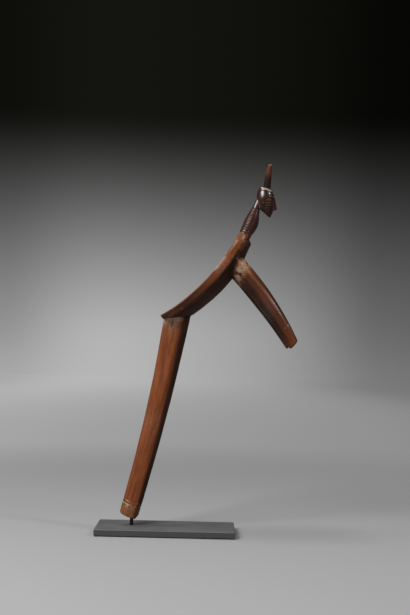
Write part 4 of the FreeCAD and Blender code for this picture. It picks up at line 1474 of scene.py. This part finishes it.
def make_lamps():
    """Area lamps, each with its place and the length of its side in metres."""
    studio = settings().studio
    aim = Vector((0.05, 0.0, 0.36))
    lamps = (
        ("key", studio.key, (-1.19, -1.36, 1.55), 1.10),
        ("top", studio.top, (-0.44, -0.06, 2.04), 0.32),
        ("side", studio.side, (1.42, -0.66, 1.37), 0.26))
    for name, power, place, side in lamps:
        lamp = bpy.data.lights.new(name, "AREA")
        lamp.energy = power
        lamp.size = side
        holder = place_object(name, lamp)
        holder.location = place
        holder.rotation_euler = (aim - Vector(place)).to_track_quat("-Z", "Y").to_euler()


def make_camera():
    studio = settings().studio
    camera = place_object("camera", bpy.data.cameras.new("camera"))
    camera.data.lens = studio.lens
    camera.data.sensor_width = 36.0
    upright = Matrix.Rotation(math.pi / 2 + studio.camera_pitch, 4, "X")
    place = Matrix.Translation((studio.camera_x, -studio.camera_distance, studio.camera_height))
    camera.matrix_world = place @ upright @ Matrix.Rotation(studio.camera_roll, 4, "Z")
    bpy.context.scene.camera = camera


# Operators

class STOOL_OT_finishes(Operator):
    """Makes the wood, paint, steel and felt"""
    bl_idname = "stool.finishes"
    bl_label = "Make the finishes"

    def execute(self, context):
        finish = settings().finish
        wood_figure()
        age_marks()
        speckle()
        wood("brown_wood", finish.wood_deep, finish.wood_body, finish.wood_light, 0.90)
        wood("dark_wood", finish.patina, finish.dark_body, finish.dark_light, 0.85)
        painted_steel()
        dark_steel()
        felt()
        return {"FINISHED"}


class STOOL_OT_stand(Operator):
    """Finishes the plate, its felt, the pin and its screw"""
    bl_idname = "stool.stand"
    bl_label = "Finish the stand"

    def execute(self, context):
        finishes = {
            "base_plate": "painted_steel", "base_felt": "felt",
            "mount_pin": "dark_steel", "pin_screw": "dark_steel"}
        for node, finish in finishes.items():
            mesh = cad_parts[node].data
            mesh.materials.clear()
            mesh.materials.append(finish_of(finish))
        return {"FINISHED"}


class STOOL_OT_seat(Operator):
    """Carves the curved seat"""
    bl_idname = "stool.seat"
    bl_label = "Carve the seat"

    def execute(self, context):
        build_seat()
        return {"FINISHED"}


class STOOL_OT_long_leg(Operator):
    """Carves the long leg with its cut rings and the socket for the pin"""
    bl_idname = "stool.long_leg"
    bl_label = "Carve the long leg"

    def execute(self, context):
        build_long_leg()
        return {"FINISHED"}


class STOOL_OT_front_legs(Operator):
    """Carves the splayed pair of front legs"""
    bl_idname = "stool.front_legs"
    bl_label = "Carve the front legs"

    def execute(self, context):
        build_front_leg(1, "front_leg_carved_left", "front_leg_left")
        build_front_leg(-1, "front_leg_carved_right", "front_leg_right")
        return {"FINISHED"}


class STOOL_OT_neck(Operator):
    """Carves the ringed neck"""
    bl_idname = "stool.neck"
    bl_label = "Carve the neck"

    def execute(self, context):
        build_neck()
        return {"FINISHED"}


class STOOL_OT_head(Operator):
    """Carves the head"""
    bl_idname = "stool.head"
    bl_label = "Carve the head"

    def execute(self, context):
        build_head()
        return {"FINISHED"}


class STOOL_OT_topknot(Operator):
    """Carves the peg on the crown"""
    bl_idname = "stool.topknot"
    bl_label = "Carve the topknot"

    def execute(self, context):
        build_topknot()
        return {"FINISHED"}


class STOOL_OT_stage(Operator):
    """Lays the floor, hangs the lamps and sets the camera"""
    bl_idname = "stool.stage"
    bl_label = "Set the stage"

    def execute(self, context):
        studio_tone()
        make_floor()
        make_backdrop()
        make_lamps()
        make_camera()
        context.scene.view_settings.view_transform = "Standard"
        return {"FINISHED"}


# Panel and registration

class STOOL_PT_panel(Panel):
    """Lists the stool's pieces and its settings"""
    bl_idname = "STOOL_PT_panel"
    bl_label = "Carved stool"
    bl_space_type = "VIEW_3D"
    bl_region_type = "UI"
    bl_category = "Stool"

    def draw(self, context):
        for operator in OPERATORS:
            self.layout.operator(operator.bl_idname)
        for name in StoolSettings.__annotations__:
            group = getattr(context.scene.carved_stool, name)
            box = self.layout.box()
            box.label(text=name.replace("_", " ").capitalize())
            for key in group.bl_rna.properties.keys():
                if key not in ("rna_type", "name"):
                    box.prop(group, key)


GROUPS = (
    LongLegSettings, SeatSettings, FrontLegSettings, NeckSettings, HeadSettings, FinishSettings,
    StudioSettings, StoolSettings)
OPERATORS = (
    STOOL_OT_finishes, STOOL_OT_stand, STOOL_OT_seat, STOOL_OT_long_leg, STOOL_OT_front_legs, STOOL_OT_neck,
    STOOL_OT_head, STOOL_OT_topknot, STOOL_OT_stage)


def register():
    for item in GROUPS + OPERATORS + (STOOL_PT_panel,):
        bpy.utils.register_class(item)
    bpy.types.Scene.carved_stool = PointerProperty(type=StoolSettings)


def unregister():
    del bpy.types.Scene.carved_stool
    for item in reversed(GROUPS + OPERATORS + (STOOL_PT_panel,)):
        bpy.utils.unregister_class(item)


def main():
    register()
    bpy.ops.stool.finishes()
    bpy.ops.stool.stand()
    bpy.ops.stool.seat()
    bpy.ops.stool.long_leg()
    bpy.ops.stool.front_legs()
    bpy.ops.stool.neck()
    bpy.ops.stool.head()
    bpy.ops.stool.topknot()
    bpy.ops.stool.stage()


if __name__ == "__main__":
    main()
